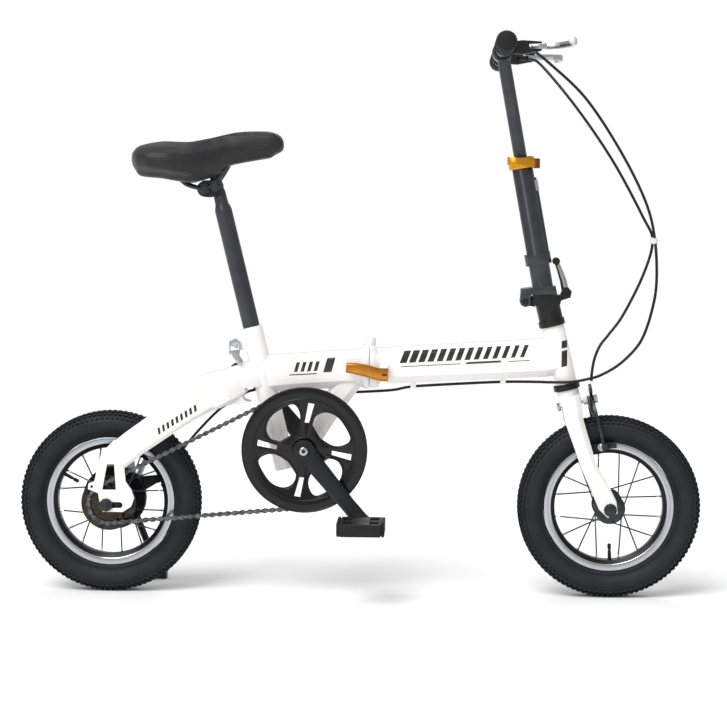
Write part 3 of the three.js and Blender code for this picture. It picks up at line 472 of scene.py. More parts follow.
def makeTyre(name, centre, body, node):
    middle = inMiddle(centre)
    parts = [spun(name, mirrored(tyre["profile"]), middle, steps=120, angle=28)]
    for y, r, halfWide, halfLong, phase in tyre["rows"]:
        for side in ((1,) if y == 0 else (1, -1)):
            clear()
            bpy.ops.mesh.primitive_cube_add(size=0.002, location=(0, 0, 0))
            block = bpy.context.object
            bpy.ops.object.mode_set(mode="EDIT")
            bpy.ops.mesh.select_all(action="SELECT")
            bpy.ops.transform.resize(value=(halfLong, halfWide, tyre["halfHigh"]))
            bpy.ops.mesh.bevel(offset=0.0006, segments=1)
            lean = -side * math.atan2(y, tyre["crown"]) if y else 0
            bpy.ops.transform.rotate(value=lean, orient_axis="X", center_override=(0, 0, 0))
            bpy.ops.transform.translate(value=(middle[0] * mm, side * y * mm, (middle[2] + r) * mm))
            bpy.ops.transform.rotate(value=phase * full / tyre["count"], orient_axis="Y",
                                     center_override=Vector(middle) * mm)
            bpy.ops.object.mode_set(mode="OBJECT")
            choose(block)
            bpy.ops.object.transform_apply(location=True, rotation=True, scale=True)
            parts.append(repeated(block, tyre["count"], middle))
    whole = joined(name, parts)
    choose(whole)
    bpy.ops.object.shade_smooth_by_angle(angle=math.radians(30))
    return put(whole, body, tyreRubber, "tyre_rubber", node)


makeTyre("rearTyreTread", layout["rearAxle"], "rear_wheel", "tyre_rear")
makeTyre("frontTyreTread", layout["frontAxle"], "front_wheel", "tyre_front")
print("tyres made")

# rim, hub and spokes
wheel = {
    "track": [(107.7, 13.5), (107.7, 11.2), (105.6, 10.8), (98.5, 11.2), (97, 11.9), (97, 13.1), (97.8, 13.7),
              (101.2, 13.9), (101.6, 13.3), (102.3, 13.3), (102.7, 13.9), (106.6, 13.9)],
    "well": [(97.3, 13.2), (97.3, 11), (94.5, 2), (94.5, -2), (97.3, -11), (97.3, -13.2),
             (90.6, -9.4), (90, -7), (90, 7), (90.6, 9.4)],
    # distances from the flange, outwards
    "shell": [(5.2, 4.6), (8.5, 4.6), (10.5, 3.6), (13.5, 2.2), (25, 1.4), (26, 0.8), (26, -0.8),
              (25, -1.4), (15, -2.6), (12.4, -7), (11.4, -13)],
    "spokes": 16, "spoke": 1.25, "cross": 0.75, "tip": 90.6, "nipple": 1.75,
}


def makeWheel(tag, centre, body, flangeY, metal):
    middle = inMiddle(centre)
    left = spun(tag + "RimTrack", wheel["track"], middle, steps=120, angle=40)
    right = spun("trackRight", [(r, -y) for r, y in wheel["track"]], middle, steps=120, angle=40)
    put(joined(tag + "RimTrack", [left, right]), body, metal, "rim_alloy", "rim_" + tag)
    put(spun(tag + "RimWell", wheel["well"], middle, steps=120, angle=30), body, wellBlack, "rim_alloy")
    profile = mirrored([(r, -flangeY - h) for r, h in wheel["shell"]])
    shell = spun(tag + "HubShell", profile, middle, steps=64, angle=30)
    put(shell, body, drumBlack if tag == "rear" else darkSteel, "dark_steel", "hub_" + tag)
    spokes, nipples = [], []
    for i in range(4):  # one group of four crossed spokes, then turned round
        turn = (i + 0.5) * full / wheel["spokes"]
        side = 1 if i % 2 else -1
        foot = turn + (wheel["cross"] if i < 2 else -wheel["cross"])
        inner = Vector(polar(centre, 22.6, foot, side * (flangeY - 3.2)))
        elbow = Vector(polar(centre, 22.8, foot, side * (flangeY + 1.9)))
        outer = Vector(polar(centre, 24.6, foot + (turn - foot) * 0.045, side * (flangeY + 2.0)))
        tip = Vector(polar(centre, wheel["tip"], turn, side * 4))
        spokes.append(swept("spoke", [inner, elbow, outer, tip], wheel["spoke"], sides=2))
        run = (tip - outer).normalized()
        nipples.append(swept("nipple", [tip - run * 9.5, tip - run * 9, tip - run * 2, tip], wheel["nipple"],
                             sides=1, taper=lambda t: 0.75 if t < 0.1 else 1))
    line = repeated(joined(tag + "Spokes", spokes), 4, middle)
    put(settle(line, 40), body, darkSteel, "polished_steel")
    put(settle(repeated(joined(tag + "Nipples", nipples), 4, middle), 40), body, steel, "polished_steel")


makeWheel("rear", layout["rearAxle"], "rear_wheel", 29, rimRear)
makeWheel("front", layout["frontAxle"], "front_wheel", 32, rimFront)
valve = {
    "stem": [(0, 0), (2.2, 0), (3, 0.8), (3.1, 8), (2.7, 9), (2.1, 9.6), (2.1, 11), (2.6, 12), (2.9, 14),
             (3.1, 22), (3.1, 30), (0, 30)],
    "foot": 64,
}


def makeValve(tag, centre, turn, body):
    run = Vector((math.cos(turn), 0, math.sin(turn)))
    foot = Vector(inMiddle(centre)) + run * valve["foot"]
    stem = spun(tag + "ValveStem", valve["stem"], foot, run, steps=20, ring=False)
    put(stem, body, mattePlastic, "tyre_rubber", "valve_" + tag)


makeValve("rear", layout["rearAxle"], math.pi - math.radians(28.6), "rear_wheel")
makeValve("front", layout["frontAxle"], -math.pi / 2 + math.radians(2.3), "front_wheel")
print("wheels made")

# frame: bent and welded tubes under the enamel
paintedNodes = {
    "seatTubeShell": ("seat_tube", "rear_frame", whitePaint, 1.2),
    "rearBeamShell": ("main_tube_rear", "rear_frame", rearPaint, 1.6),
    "downStrutShell": ("down_strut", "rear_frame", whitePaint, 2.0),
    "rearYokeShell": ("rear_yoke", "rear_frame", whitePaint, 2.0),
    "{}ArmShell": ("rear_arm_{}", "rear_frame", armPaint, 1.8),
    "frontBeamShell": ("main_tube_front", "front_frame", beamPaint, 1.6),
    "headTubeShell": ("head_tube", "front_frame", headPaint, 1.2),
    "forkShell": ("fork", "steering", whitePaint, 1.6),
}


def sided(name):  # a name with {} in it stands for a right piece and a left one
    return ("right", "left") if "{}" in name else ("",)


for name, (node, body, paint, edge) in paintedNodes.items():
    for side in sided(name):
        refined(name.format(side), node.format(side), body, paint, "frame_paint", edge, 3)

cheek = {
    "ring": [(11, 312), (16, 308.6), (27, 308.6), (31.6, 313), (31.6, 353), (27, 357.4), (16, 357.4), (11, 354)],
    "start": -252, "level": 333, "lean": 0.41, "centre": (12, 338),
    # each step: forward, scale across, scale up, rise
    "steps": ((14, 0.93, 0.98, 5.5), (14, 0.8, 0.95, 7), (14, 0.7, 0.92, 8), (12, 0.5, 0.9, 8)),
}


def makeFairing(side):  # the formed cheek that runs from the yoke out to the arm
    start, level, lean = cheek["start"], cheek["level"], cheek["lean"]
    obj = drawn("cheek", [(start - (z - level) * lean, side * y, z) for y, z in cheek["ring"]])
    bpy.ops.mesh.edge_face_add()
    bpy.ops.mesh.select_all(action="SELECT")
    y, z = cheek["centre"]
    for step, narrow, tall, rise in cheek["steps"]:
        bpy.ops.mesh.extrude_region_move(TRANSFORM_OT_translate={"value": (step * mm, 0, rise * mm)})
        bpy.ops.transform.resize(value=(1, narrow, tall), center_override=(0, side * y * mm, z * mm))
    bpy.ops.object.mode_set(mode="OBJECT")
    settle(obj)
    rounded(obj, 2.2, 3)
    settle(obj, 45)
    put(obj, "rear_frame", whitePaint, "frame_paint")
    obj.name = ("left" if side > 0 else "right") + "ArmCheek"


makeFairing(1)
makeFairing(-1)
fittings = {
    "standLeg": ("kickstand", "kickstand_leg", blackCoat, "black_paint", 1.0),
    "rearAxleNuts": ("rear_axle", "rear_frame", darkSteel, "dark_steel", 0.5),
    "frontAxleNuts": ("front_axle", "steering", darkSteel, "dark_steel", 0.5),
    "brakeBandCover": ("band_brake_cover", "rear_frame", drumBlack, "drum_alloy", 1.0),
    "brakeBandArm": ("band_brake_arm", "band_arm", steel, "polished_steel", 0.5),
    "seatSkewerRod": ("seat_skewer", "rear_frame", steel, "polished_steel", 0.4),
    "seatLeverForging": ("seat_clamp_lever", "seat_lever", polished, "polished_steel", 1.0),
    "beamLatchForging": ("main_latch_lever", "main_latch", gold, "gold_anodised", 1.6),
    "lowerHeadCup": ("headset_lower", "front_frame", blackCoat, "black_paint", 0.8),
    "stemSocket": ("stem_base", "steering", blackCoat, "black_paint", 2.4),
    "{}CaliperArm": ("caliper_arm_{}", "caliper_{}", darkSteel, "polished_steel", 0.7),
    "lowerPostTube": ("lower_post", "post", postCoat, "grey_anodised", 1.0),
    "postClampRing": ("post_clamp", "post", amber, "amber_anodised", 1.0),
    "postClampHandle": ("post_clamp_lever", "post_lever", amber, "amber_anodised", 1.2),
    "stemLatchForging": ("stem_latch", "stem_catch", steel, "polished_steel", 1.0),
    "upperPostTube": ("upper_post", "handlebars", postCoat, "grey_anodised", 1.0),
    "{}LeverMount": ("lever_bracket_{}", "handlebars", blackCoat, "black_paint", 1.0),
    "{}BrakeBlade": ("brake_lever_{}", "lever_{}", polished, "polished_steel", 1.2),
    "rearSprocketPlate": ("sprocket", "freewheel", olive, "dark_steel", 0.3),
    "bottomAxle": ("crank_spindle", "crankset", darkSteel, "dark_steel", 0.5),
    "{}CrankForging": ("crank_{}", "crankset", crankPaint, "crank_metal", 1.8),
    "{}PedalCage": ("pedal_{}", "{}_pedal", mattePlastic, "matte_black_plastic", 1.0),
}
for name, (node, body, finish, slot, edge) in fittings.items():
    for side in sided(name):
        refined(name.format(side), node.format(side), body.format(side), finish, slot, edge)
print("frame and fittings made")

# toothed ring on four thin arms, hidden behind the guard
ring = {"hub": 28, "rim": 84, "armFrom": 25, "armTo": 87, "armHalf": 2, "turn": -15}
crankMiddle = inMiddle(layout["crank"])
ringLow, ringHigh = (corner.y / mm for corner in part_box("chainring"))
ringPlate = refined("frontRingPlate", "chainring", "crankset", darkSteel, "dark_steel", 0.3)
cut = [(ring["hub"], ringLow - 4), (ring["rim"], ringLow - 4),
       (ring["rim"], ringHigh + 4), (ring["hub"], ringHigh + 4)]
ringCutter = spun("ringCutter", cut, crankMiddle, steps=96)
applied(ringPlate, "BOOLEAN", operation="DIFFERENCE", object=ringCutter, solver="EXACT")
bpy.data.objects.remove(ringCutter)
half = ring["armHalf"]
corners = ((-half, ring["armFrom"]), (half, ring["armFrom"]), (half, ring["armTo"]), (-half, ring["armTo"]))
armOutline = [(crankMiddle[0] + x, ringLow, crankMiddle[2] + z) for x, z in corners]
ringArm = slab("frontRingArms", armOutline, (0, ringHigh - ringLow, 0))
choose(ringArm, True)
bpy.ops.transform.rotate(value=math.radians(ring["turn"]), orient_axis="Y",
                         center_override=Vector(crankMiddle) * mm)
bpy.ops.object.mode_set(mode="OBJECT")
put(repeated(ringArm, 4, crankMiddle), "crankset", darkSteel, "dark_steel")

# thin pressed disc behind the chain, fixed to the hub
hubDisc = [(11, -33.6), (24, -33.6), (30, -35.4), (44, -35.4), (46, -34.6), (46, -33.8), (44, -33.8), (30, -33.8),
           (24, -32.4), (11, -32.4)]
put(spun("hubDisc", hubDisc, inMiddle(layout["rearAxle"]), steps=72), "rear_wheel", olive, "dark_steel")

# chain of plates, pins and rollers on its pitch line
chain = {
    "pitch": 12.7, "eye": 4.1, "waist": 1.9, "plate": 0.8, "inner": 2.0, "outer": 3.2,
    "pin": mirrored([(0, -4.25), (1.4, -4.25), (1.8, -3.9)]),
    "roller": [(1.9, -1.7), (3.8, -1.7), (3.8, 1.7), (1.9, 1.7)],
}


def chainPlaces():
    front, back = Vector(layout["crank"]), Vector(layout["rearAxle"])
    big, small = layout["ringPitch"], layout["cogPitch"]
    apart = front - back
    lean, spacing = math.atan2(apart.y, apart.x), apart.length
    wrap = math.acos((small - big) / spacing)
    straight = math.sqrt(spacing ** 2 - (big - small) ** 2)
    total = 2 * straight + 2 * wrap * big + (full - 2 * wrap) * small
    count = 2 * round(total / chain["pitch"] / 2)

    def onCircle(centre, radius, turn):
        return centre + radius * Vector((math.cos(turn), math.sin(turn)))

    def at(s):  # s runs along the top, round the front, along the bottom and round the back
        if s < straight:
            return onCircle(back, small, lean + wrap).lerp(onCircle(front, big, lean + wrap), s / straight)
        s -= straight
        if s < 2 * wrap * big:
            return onCircle(front, big, lean + wrap - s / big)
        s -= 2 * wrap * big
        if s < straight:
            return onCircle(front, big, lean - wrap).lerp(onCircle(back, small, lean - wrap), s / straight)
        return onCircle(back, small, lean - wrap - (s - straight) / small)

    return [at(total * k / count) for k in range(count)]


def linkPlate(y):
    outline = []
    for centre, first, side in ((0, 60, -1), (chain["pitch"], -120, 1)):
        for k in range(7):
            turn = math.radians(first + 240 * k / 6)
            outline.append((centre + chain["eye"] * math.cos(turn), y, chain["eye"] * math.sin(turn)))
        outline.append((chain["pitch"] / 2, y, side * chain["waist"]))
    return slab("linkPlate", outline, (0, chain["plate"], 0))


def makeChain():
    outerParts = [linkPlate(chain["outer"]), linkPlate(-chain["outer"] - chain["plate"])]
    for x in (0, chain["pitch"]):
        outerParts.append(spun("pin", chain["pin"], (x, 0, 0), steps=10, ring=False))
    outer = joined("outerLink", outerParts)
    innerParts = [linkPlate(chain["inner"]), linkPlate(-chain["inner"] - chain["plate"])]
    for x in (0, chain["pitch"]):
        innerParts.append(spun("roller", chain["roller"], (x, 0, 0), steps=12))
    inner = joined("innerLink", innerParts)
    places = chainPlaces()
    links = []
    for k, here in enumerate(places):
        ahead = places[(k + 1) % len(places)] - here
        model = outer if k % 2 else inner
        link = linked("link", model.data.copy())
        place = Matrix.Translation(Vector((here.x, layout["chainY"], here.y)) * mm)
        link.data.transform(place @ Matrix.Rotation(-math.atan2(ahead.y, ahead.x), 4, "Y"))
        links.append(link)
    whole = joined("driveChainLinks", links)
    bpy.data.objects.remove(outer)
    bpy.data.objects.remove(inner)
    put(whole, "crankset", chainSteel, "dark_steel", "chain")


makeChain()

# gripping teeth along the pedal edges
pedal = {
    "places": ((-1, "right", (8.7, -121, 130.6)), (1, "left", (-186.7, 121, 363.4))),
    "edge": 36.2, "first": 27, "step": 9, "count": 7, "half": (2.2, 2.6), "face": 9.6, "tall": 2.6,
}
for side, tag, place in pedal["places"]:
    teeth = []
    for face in (1, -1):
        for edge in (1, -1):
            for k in range(pedal["count"]):
                x, y = place[0] + edge * pedal["edge"], place[1] - pedal["first"] + pedal["step"] * k
                base = [(x + u * pedal["half"][0], y + v * pedal["half"][1], place[2] + face * pedal["face"])
                        for u, v in ((-1, -1), (1, -1), (1, 1), (-1, 1))]
                teeth.append(slab("tooth", base, (0, 0, face * pedal["tall"]), 0.6, 1))
    put(joined(tag + "PedalTeeth", teeth), tag + "_pedal", mattePlastic, "matte_black_plastic")

# raised ribs on the chain guard, and the crank bolt
guard = {
    "window": [(14, 40.4), (19.3, 56.3), (35.1, 62.9), (53.6, 56.3), (66.8, 40.4), (76.1, 19.3), (64.2, 8.7),
               (45.7, 8.7), (21.9, 24.6)],
    "slot": [(16.5, 77), (6.5, 78.5), (0.5, 46), (7.5, 45.4)],
    "disc": [(19.6, -48.8), (19.6, -51.6), (82.6, -51.6), (84.6, -52.6), (103, -52.6), (104.6, -52),
             (105, -50.6), (105, -48.8)],
    "face": -51.7, "rib": 1.1, "ribGap": 1.1,
    "rings": ((85, 0.9), (103.4, 1.0), (20.5, 0.9)), "ringHalf": 1.3, "ringFace": -52.2, "ringBack": -51,
    "cutFrom": -60, "cutDepth": 20,
    "bolt": [(0, -69.6), (2.9, -69.6), (3, -72.2), (3.3, -72.7), (5.6, -72.7),
             (6.9, -71.9), (7.2, -71), (7.2, -69)],
}


def loopRoute(outline, y, steps):  # a smooth closed route round the crank through (x, z) points
    wrapped = outline[-2:] + outline + outline[:2]
    points = [(crankMiddle[0] + x, y, crankMiddle[2] + z) for x, z in wrapped]
    return smoothRoute(points, steps)[2 * steps:-2 * steps][:-1]


def makeGuardDisc():
    disc = spun("guardDisc", guard["disc"], crankMiddle, steps=128)
    window = loopRoute(guard["window"], guard["cutFrom"], 5)
    slot = [(crankMiddle[0] + x, guard["cutFrom"], crankMiddle[2] + z) for x, z in guard["slot"]]
    push = (0, guard["cutDepth"], 0)
    cutter = joined("windowCutter", [slab("window", window, push), slab("slot", slot, push)])
    cutter = repeated(cutter, 4, crankMiddle)
    settle(cutter)
    applied(disc, "BOOLEAN", operation="DIFFERENCE", object=cutter, solver="EXACT")
    bpy.data.objects.remove(cutter)
    rounded(disc, 0.6, 2, 40)
    settle(disc, 40, 0.000001)
    put(disc, "crankset", glossPlastic, "gloss_black_plastic", "chain_guard")


def makeGuardRibs():
    points = [Vector(p) for p in guard["window"]]
    centroid = sum(points, Vector((0, 0))) / len(points)
    around = [tuple(centroid + (p - centroid) * guard["ribGap"]) for p in points]
    route = loopRoute(around, guard["face"], 6)
    rib = repeated(swept("guardRibs", route, guard["rib"], 2, closed=True), 4, crankMiddle)
    rings, wide = [], guard["ringHalf"]
    for r, h in guard["rings"]:
        profile = [(r + wide * math.cos(t), guard["ringFace"] - h * math.sin(t))
                   for t in (0, 0.6, 1.2, 1.9, 2.5, math.pi)]
        profile += [(r - wide, guard["ringBack"]), (r + wide, guard["ringBack"])]
        rings.append(spun("ring", profile, crankMiddle, steps=96, angle=60))
    put(settle(joined("guardRibs", [rib] + rings), 60), "crankset", glossPlastic, "gloss_black_plastic")
    bolt = spun("crankBolt", guard["bolt"], crankMiddle, steps=40, ring=False)
    put(bolt, "crankset", polished, "polished_steel")


makeGuardDisc()
makeGuardRibs()
print("drive made")

# seat post, rails and saddle
seat = {
    "foot": (-182, 0, 448), "lean": (-0.2368, 0, 0.9716),
    "tube": [(14.3, 199), (13.8, 203), (11.3, 211), (11, 214), (10.6, 232), (9.4, 236), (9.4, 262), (0, 262)],
    "rail": [(-308, 27, 708), (-300, 26, 696), (-290, 24, 686), (-276, 23, 681), (-260, 22, 679),
             (-248, 20, 682), (-238, 17, 692), (-228, 14, 706), (-220, 12, 720)],
    "railRadius": 3.4,
    "jaw": [(-272, 676), (-269, 669), (-262, 665), (-252, 664), (-240, 666), (-233, 672), (-233, 690),
            (-246, 693), (-262, 692), (-270, 686)],
    "jawHalf": 17,
    "washer": [(0, 17), (9.4, 17), (9.8, 17.6), (9.8, 20.4), (9.2, 21), (6.2, 21.2),
               (6.2, 25.4), (5.2, 26.2), (0, 26.2)],
    "bolts": ((-260, 678), (-241, 683)),
}
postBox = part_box("seatpost")
postLow = -(seat["foot"][2] - postBox[0].z / mm) / seat["lean"][2] + 4
put(spun("seatPostTube", [(0, postLow), (13, postLow), (14.3, postLow + 1.5)] + seat["tube"],
         seat["foot"], seat["lean"], steps=64, ring=False), "seat", postCoat, "grey_anodised", "seatpost")
rails = [swept("saddleRails", smoothRoute([(x, side * y, z) for x, y, z in seat["rail"]], 8),
               seat["railRadius"], 3) for side in (1, -1)]
put(joined("saddleRails", rails), "seat", darkSteel, "polished_steel", "saddle_rails")
half = seat["jawHalf"]
jaw = slab("saddleClampJaw", [(x, -half, z) for x, z in seat["jaw"]], (0, 2 * half, 0), 1.6, 3)
put(jaw, "seat", blackCoat, "dark_steel")
for x, z in seat["bolts"]:
    for side in (1, -1):
        washer = spun("clampWasher%d%d" % (-x, side + 1), [(r, side * h) for r, h in seat["washer"]], (x, 0, z),
                      steps=36, ring=False)
        put(washer, "seat", darkSteel, "polished_steel")

saddle = {
    "lift": 2.5, "shrink": 0.985, "voxel": 4.5,
    # the belly hangs over the rails and the heel is full: depth, place, reach
    "belly": (8.5, -278, 52), "heel": (4.5, -335, -365), "lower": (738, 708),
    "pressure": 4.0, "stiffness": 60, "bending": 6, "frames": 20, "swell": 5.0, "shellTop": 752,
    # set after the cloth: low at the back, thin and long at the nose
    "upper": (722, 746), "sink": (6.5, -150, -280), "thin": (6.5, -242, -224), "tip": (4, -178, -138),
}


def makeSaddle():
    clear()
    halves = [linked("saddlePad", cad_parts[node].data.copy())
              for node in ("saddle_cushion", "saddle_base")]
    choose(halves[1], True)
    bpy.ops.mesh.remove_doubles(threshold=0.000002)
    bpy.ops.transform.translate(value=(0, 0, saddle["lift"] * mm))
    obj = joined("saddlePad", halves)
    choose(obj, True)
    bpy.ops.mesh.remove_doubles(threshold=0.000002)
    bpy.ops.mesh.normals_make_consistent(inside=False)
    low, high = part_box("saddle_cushion")
    middle = (low + high) / 2
    bpy.ops.transform.resize(value=(saddle["shrink"],) * 3, center_override=middle)
    bpy.ops.object.mode_set(mode="OBJECT")
    depth, place, reach = saddle["belly"]
    heel, heelFrom, heelTo = saddle["heel"]
    for v in obj.data.vertices:
        x, z = v.co.x / mm, v.co.z / mm
        drop = depth * math.exp(-((x - place) / reach) ** 2) + heel * ramp(x, heelFrom, heelTo)
        v.co.z -= ramp(z, *saddle["lower"]) * drop * mm
    applied(obj, "REMESH", mode="VOXEL", voxel_size=saddle["voxel"] * mm)
    applied(obj, "SMOOTH", factor=0.5, iterations=8)
    rest = [v.co.copy() for v in obj.data.vertices]
    cloth = obj.modifiers.new("cloth", "CLOTH")
    cloth.settings.use_pressure = True
    cloth.settings.uniform_pressure_force = saddle["pressure"]
    cloth.settings.effector_weights.gravity = 0
    cloth.settings.tension_stiffness = saddle["stiffness"]
    cloth.settings.compression_stiffness = saddle["stiffness"]
    cloth.settings.bending_stiffness = saddle["bending"]
    for k in range(1, saddle["frames"] + 1):
        bpy.context.scene.frame_set(k)
    choose(obj)
    bpy.ops.object.modifier_apply(modifier=cloth.name)
    bpy.context.scene.frame_set(1)
    for v, start in zip(obj.data.vertices, rest):
        move = v.co - start
        if move.length > saddle["swell"] * mm:
            v.co = start + move.normalized() * saddle["swell"] * mm
        if v.co.z < saddle["shellTop"] * mm and move.z < 0:  # flat where the pad rests on its shell
            v.co.z = start.z
    sink, sinkFrom, sinkTo = saddle["sink"]
    thin, thinFrom, thinTo = saddle["thin"]
    tip, tipFrom, tipTo = saddle["tip"]
    for v in obj.data.vertices:
        x, z = v.co.x / mm, v.co.z / mm
        upper = ramp(z, *saddle["upper"])
        v.co.z += mm * (thin * ramp(x, thinFrom, thinTo) * (1 - upper)
                        - sink * ramp(x, sinkFrom, sinkTo) * upper)
        v.co.x += mm * tip * ramp(x, tipFrom, tipTo)
    applied(obj, "SUBSURF", levels=1, render_levels=1)
    choose(obj)
    bpy.ops.object.shade_smooth()
    put(obj, "seat", vinyl, "saddle_vinyl", "saddle_cushion", "saddle_base")


makeSaddle()
print("saddle made")

# handlebar, grips and lever ends
bar = {
    "centre": (232.9, 0, 906), "tube": [(0, -256), (10, -256), (11, -255)], "gripIn": 161, "gripOut": 262,
    "ribStep": 5.4, "blade": (334, 240, 909),
    "ball": [(0, -5.4), (2.6, -4.8), (4.6, -3), (5.4, 0), (4.6, 3), (2.6, 4.8), (0, 5.4)],
}
put(spun("barTube", mirrored(bar["tube"]), bar["centre"], steps=48, ring=False),
    "handlebars", blackCoat, "black_paint", "handlebar")
for side, tag, node in ((-1, "right", "grip_right"), (1, "left", "grip_left")):
    inEnd, outEnd = bar["gripIn"], bar["gripOut"]
    profile = [(11.2, inEnd + 1), (14.6, inEnd), (16.5, inEnd + 1), (16.5, inEnd + 3.4), (15.2, inEnd + 4.6)]
    y = inEnd + 8
    while y < outEnd - 14:
        profile += [(15.2, y), (16.3, y + 0.8), (16.3, y + 2.6), (15.2, y + 3.4)]
        y += bar["ribStep"]
    profile += [(16.0, outEnd - 8), (16.4, outEnd - 4), (15.4, outEnd - 1), (12, outEnd), (0, outEnd),
                (0, inEnd + 1)]
    grip = spun(tag + "GripSleeve", [(r, side * h) for r, h in profile], bar["centre"],
                steps=48, angle=30, ring=False)
    put(grip, "handlebars", gripRubber, "grip_rubber", node)
    x, y, z = bar["blade"]
    ball = spun(tag + "BladeEnd", bar["ball"], (x, side * y, z), steps=24, ring=False)
    put(ball, "lever_" + tag, clipWhite, "polished_steel")

# small fittings of the stem and the latches
barrel = spun("stemLatchBarrel", mirrored([(0, -9), (5.2, -9), (6.2, -8)]), (326, 0, 562), steps=32, ring=False)
put(barrel, "stem_catch", blackCoat, "matte_black_plastic")
pivot = spun("clampPivot", mirrored([(0, -8.2), (4.8, -8.2), (5.4, -7.4)]), (291, -13.6, 723.5), (0, 0, 1),
             steps=28, ring=False)
put(pivot, "post_lever", brownPin, "amber_anodised")
postLean = math.radians(10.45)
rib = spun("postRibPlate", [(5.0, 0), (5.9, 0.6), (5.9, 18.6), (5.0, 19.2)], (291, 0, 678),
           (-math.sin(postLean), 0, math.cos(postLean)), steps=24)
put(rib, "post", polished, "polished_steel")
slotCorners = [(39, -39.2, 370.6), (47, -39.2, 370.6), (47, -39.2, 374.6), (39, -39.2, 374.6)]
put(slab("latchSlot", slotCorners, (0, -0.6, 0), 0.25), "main_latch", darkSteel, "dark_steel")

# brake blocks with their nuts, and the caliper's bolt ends
caliper = {
    "pivot": (386, 0, 330.7), "lean": math.radians(13.75), "drop": 79,
    "long": 17, "tall": 5.6, "inner": 16.1, "thick": 6.4,
    "corners": [(-1, -0.6), (-0.8, -1), (0.8, -1), (1, -0.6), (1, 0.6), (0.8, 1), (-0.8, 1), (-1, 0.6)],
    "nut": [(0, 22), (6.6, 22), (6.6, 23.6), (5, 23.8), (5, 26.4), (4, 27.2), (0, 27.2)],
    "hex": (("Rear", -56.4, -50.8), ("Front", 5.8, 12.3)),
}
downward = Vector((math.sin(caliper["lean"]), 0, -math.cos(caliper["lean"])))
forward = Vector((math.cos(caliper["lean"]), 0, math.sin(caliper["lean"])))
blockCentre = Vector(caliper["pivot"]) + downward * caliper["drop"]
for side, tag in ((-1, "right"), (1, "left")):
    inner = blockCentre + alongY * side * caliper["inner"]
    outline = [inner + forward * (u * caliper["long"]) + downward * (v * caliper["tall"])
               for u, v in caliper["corners"]]
    block = slab(tag + "BrakeBlock", outline, (0, side * caliper["thick"], 0), 0.9)
    put(block, "caliper_" + tag, gripRubber, "grip_rubber")
    nut = spun(tag + "BlockNut", [(r, side * h) for r, h in caliper["nut"]], blockCentre, steps=28, ring=False)
    put(nut, "caliper_" + tag, steel, "polished_steel")
for tag, start, end in caliper["hex"]:
    profile = [(0, start), (6.2, start), (7.1, start + 0.7), (7.1, end - 0.7), (6.2, end), (0, end)]
    hexNut = spun("caliperNut" + tag, profile, caliper["pivot"], forward, steps=6, angle=20, ring=False)
    put(hexNut, "steering", steel, "polished_steel")
print("controls made")

# brake cables, each on its clips: the front run, then the rear run, cut where they cross a joint
cables = {
    "radius": 2.4,
    "front": [
        (279, 103, 903), (300, 74, 890), (358, 30, 817), (418, 4, 728), (468, -8, 636), (484, -12, 597),
        (470, -17, 543), (437, -27, 476), (412, -34, 442), (398, -38, 424), (389, -41, 402), (385, -43, 379),
        (384.5, -44, 366)],
    "rear": [
        (279, -103, 903), (306, -82, 884), (368, -50, 829), (427, -30, 745), (471, -20, 661), (487.5, -18, 597),
        (491, -18, 526), (482.7, -20, 476), (469, -22, 436), (452, -24, 412), (427, -26, 389.4),
        (398.7, -27, 373.5), (380, -27, 368), (361.7, -26, 363.9), (345, -25, 362), (318, -15, 360.8),
        (290, 0, 360), (240, 0, 359.5), (165, 0, 355.5), (90, 0, 350.3), (57, 2, 344), (20, 14.5, 340),
        (-6, 21.5, 338), (-30, 22, 337.5), (-60, 22, 337), (-110, 22, 338.5), (-150, 24, 341), (-186, 24, 338),
        (-215, 26, 321), (-246, 32, 299), (-299, 44, 240), (-314, 48, 205), (-322, 51, 180), (-330, 52, 167),
        (-337, 52, 168), (-341, 52, 174)],
    # name, run, first and last point, first and second body, points where the bend starts and ends, CAD node
    "blended": (
        ("frontCableUpper", "front", 0, 5, "handlebars", "post", 1, 5, "cable_front_upper"),
        ("frontCableLower", "front", 5, 12, "post", "steering", 5, 11, "cable_front_lower"),
        ("rearCableUpper", "rear", 0, 5, "handlebars", "post", 1, 5, "cable_rear_upper"),
        ("rearCableMiddle", "rear", 5, 8, "post", "steering", 5, 8, "cable_rear_lower"),
        ("rearCableLow", "rear", 8, 12, "steering", "front_frame", 8, 12, "cable_rear_lower"),
        ("hingeCable", "rear", 20, 24, "front_frame", "rear_frame", 20, 24, "cable_rear_end")),
    "fixed": (
        ("frameCable", 12, 20, "front_frame", "cable_rear_frame"),
        ("brakeEndCable", 24, 35, "rear_frame", "cable_rear_end")),
}


def cableRun(name, run, start, end):  # the neighbours keep the run smooth where two pieces meet
    points = cables[run]
    before = 1 if start else 0
    after = 1 if end < len(points) - 1 else 0
    route = smoothRoute(points[start - before:end + after + 1], 8)[8 * before:]
    return swept(name, route[:8 * (end - start) + 1], cables["radius"], 3)


for name, run, start, end, first, second, bendFrom, bendTo, node in cables["blended"]:
    cable = cableRun(name, run, start, end)
    cable.data.materials.clear()
    cable.data.materials.append(sleeve)
    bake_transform(cable)
    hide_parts(node)
for name, start, end, body, node in cables["fixed"]:
    put(cableRun(name, "rear", start, end), body, sleeve, "cable_sleeve", node)
clip = spun("cablePairClip", mirrored([(0, -5), (5.2, -5), (6.4, -4)]), (486, -15, 597), (0.15, -0.1, 0.98),
            steps=20, ring=False)
put(clip, "post", clipWhite, "cable_sleeve")
print("cables made")

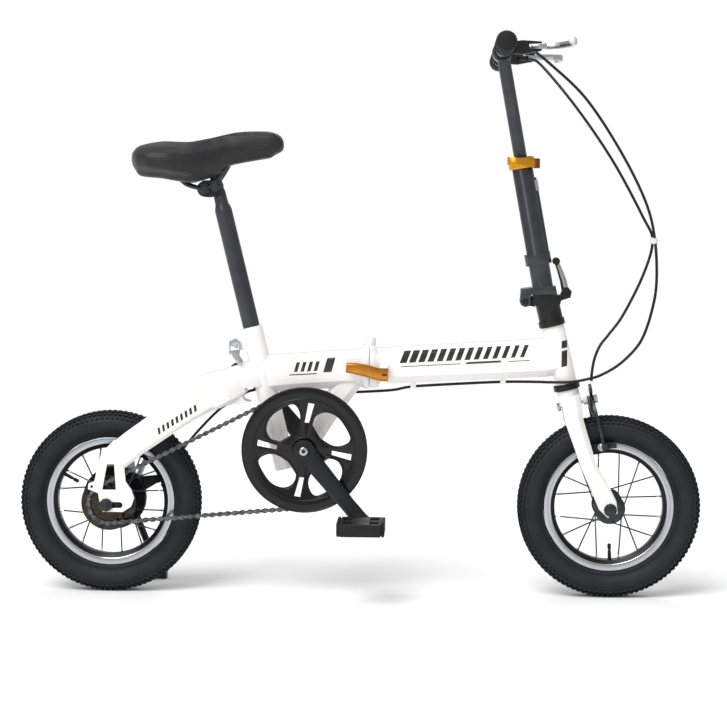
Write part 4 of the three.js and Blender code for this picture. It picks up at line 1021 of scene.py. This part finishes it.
# floor, light and camera
studio = {
    "camera": (0.145, -3.54, 0.669), "target": (0.0064, 0, 0.3897), "lens": 105, "roll": 0.36,
    "sun": 2.15, "sunFrom": (-0.45, -0.75, 1.25), "ambient": 0.53,
    "key": (-1.3, -2.6, 1.9), "keyPower": 14, "back": (0.4, 2.4, 2.2), "backPower": 16,
}
clear()
bpy.ops.mesh.primitive_plane_add(size=40, location=(0, 0, 0))
floor = bpy.context.object
floor.name = "studioFloor"
floorMaterial, tree, place, shader = begin("paleStudioFloor", Metallic=0.0)
join(tree, shader,
     Base_Color=mixed(tree, spread(tree, noise(tree, place, 400, 2), 0, 1), linear("FDFDFD"), linear("FAFAFA")),
     Roughness=spread(tree, noise(tree, place, 30, 2), 0.75, 0.85))
floor.data.materials.append(floorMaterial)


def areaLight(name, place, size, power):
    light = bpy.data.lights.new(name, "AREA")
    light.size, light.energy = size, power
    obj = linked(name, light)
    obj.location = place
    obj.rotation_euler = (Vector((0, 0, 0.4)) - Vector(place)).to_track_quat("-Z", "Y").to_euler()


sun = bpy.data.lights.new("softSun", "SUN")
sun.energy, sun.angle = studio["sun"], math.radians(35)
sunObject = linked("softSun", sun)
sunObject.rotation_euler = Vector(studio["sunFrom"]).to_track_quat("Z", "Y").to_euler()
areaLight("keyLight", studio["key"], 1.2, studio["keyPower"])
areaLight("backLight", studio["back"], 1.4, studio["backPower"])
world = bpy.data.worlds.new("softStudio")
bpy.context.scene.world = world
world.use_nodes = True
tree = world.node_tree
tree.nodes.clear()
seen = addNode(tree, "ShaderNodeLightPath").outputs["Is Camera Ray"]
strength = spread(tree, seen, studio["ambient"], 1.0, 0, 1)  # the backdrop shows white, its light is softer
ground = addNode(tree, "ShaderNodeBackground", None, {"Color": (1, 1, 1, 1), "Strength": strength})
addNode(tree, "ShaderNodeOutputWorld", None, {"Surface": ground.outputs[0]})
bpy.context.scene.view_settings.view_transform = "Standard"

lens = bpy.data.cameras.new("studioCamera")
lens.lens = studio["lens"]
lens.sensor_width = 36
camera = linked("studioCamera", lens)
camera.location = studio["camera"]
aim = (Vector(studio["target"]) - Vector(studio["camera"])).to_track_quat("-Z", "Y")
camera.rotation_mode = "QUATERNION"
camera.rotation_quaternion = aim @ Matrix.Rotation(math.radians(studio["roll"]), 4, "Z").to_quaternion()
bpy.context.scene.camera = camera
clear()

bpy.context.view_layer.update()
left = [name for name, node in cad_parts.items() if not node.hide_render]
print("CAD nodes still showing", left)
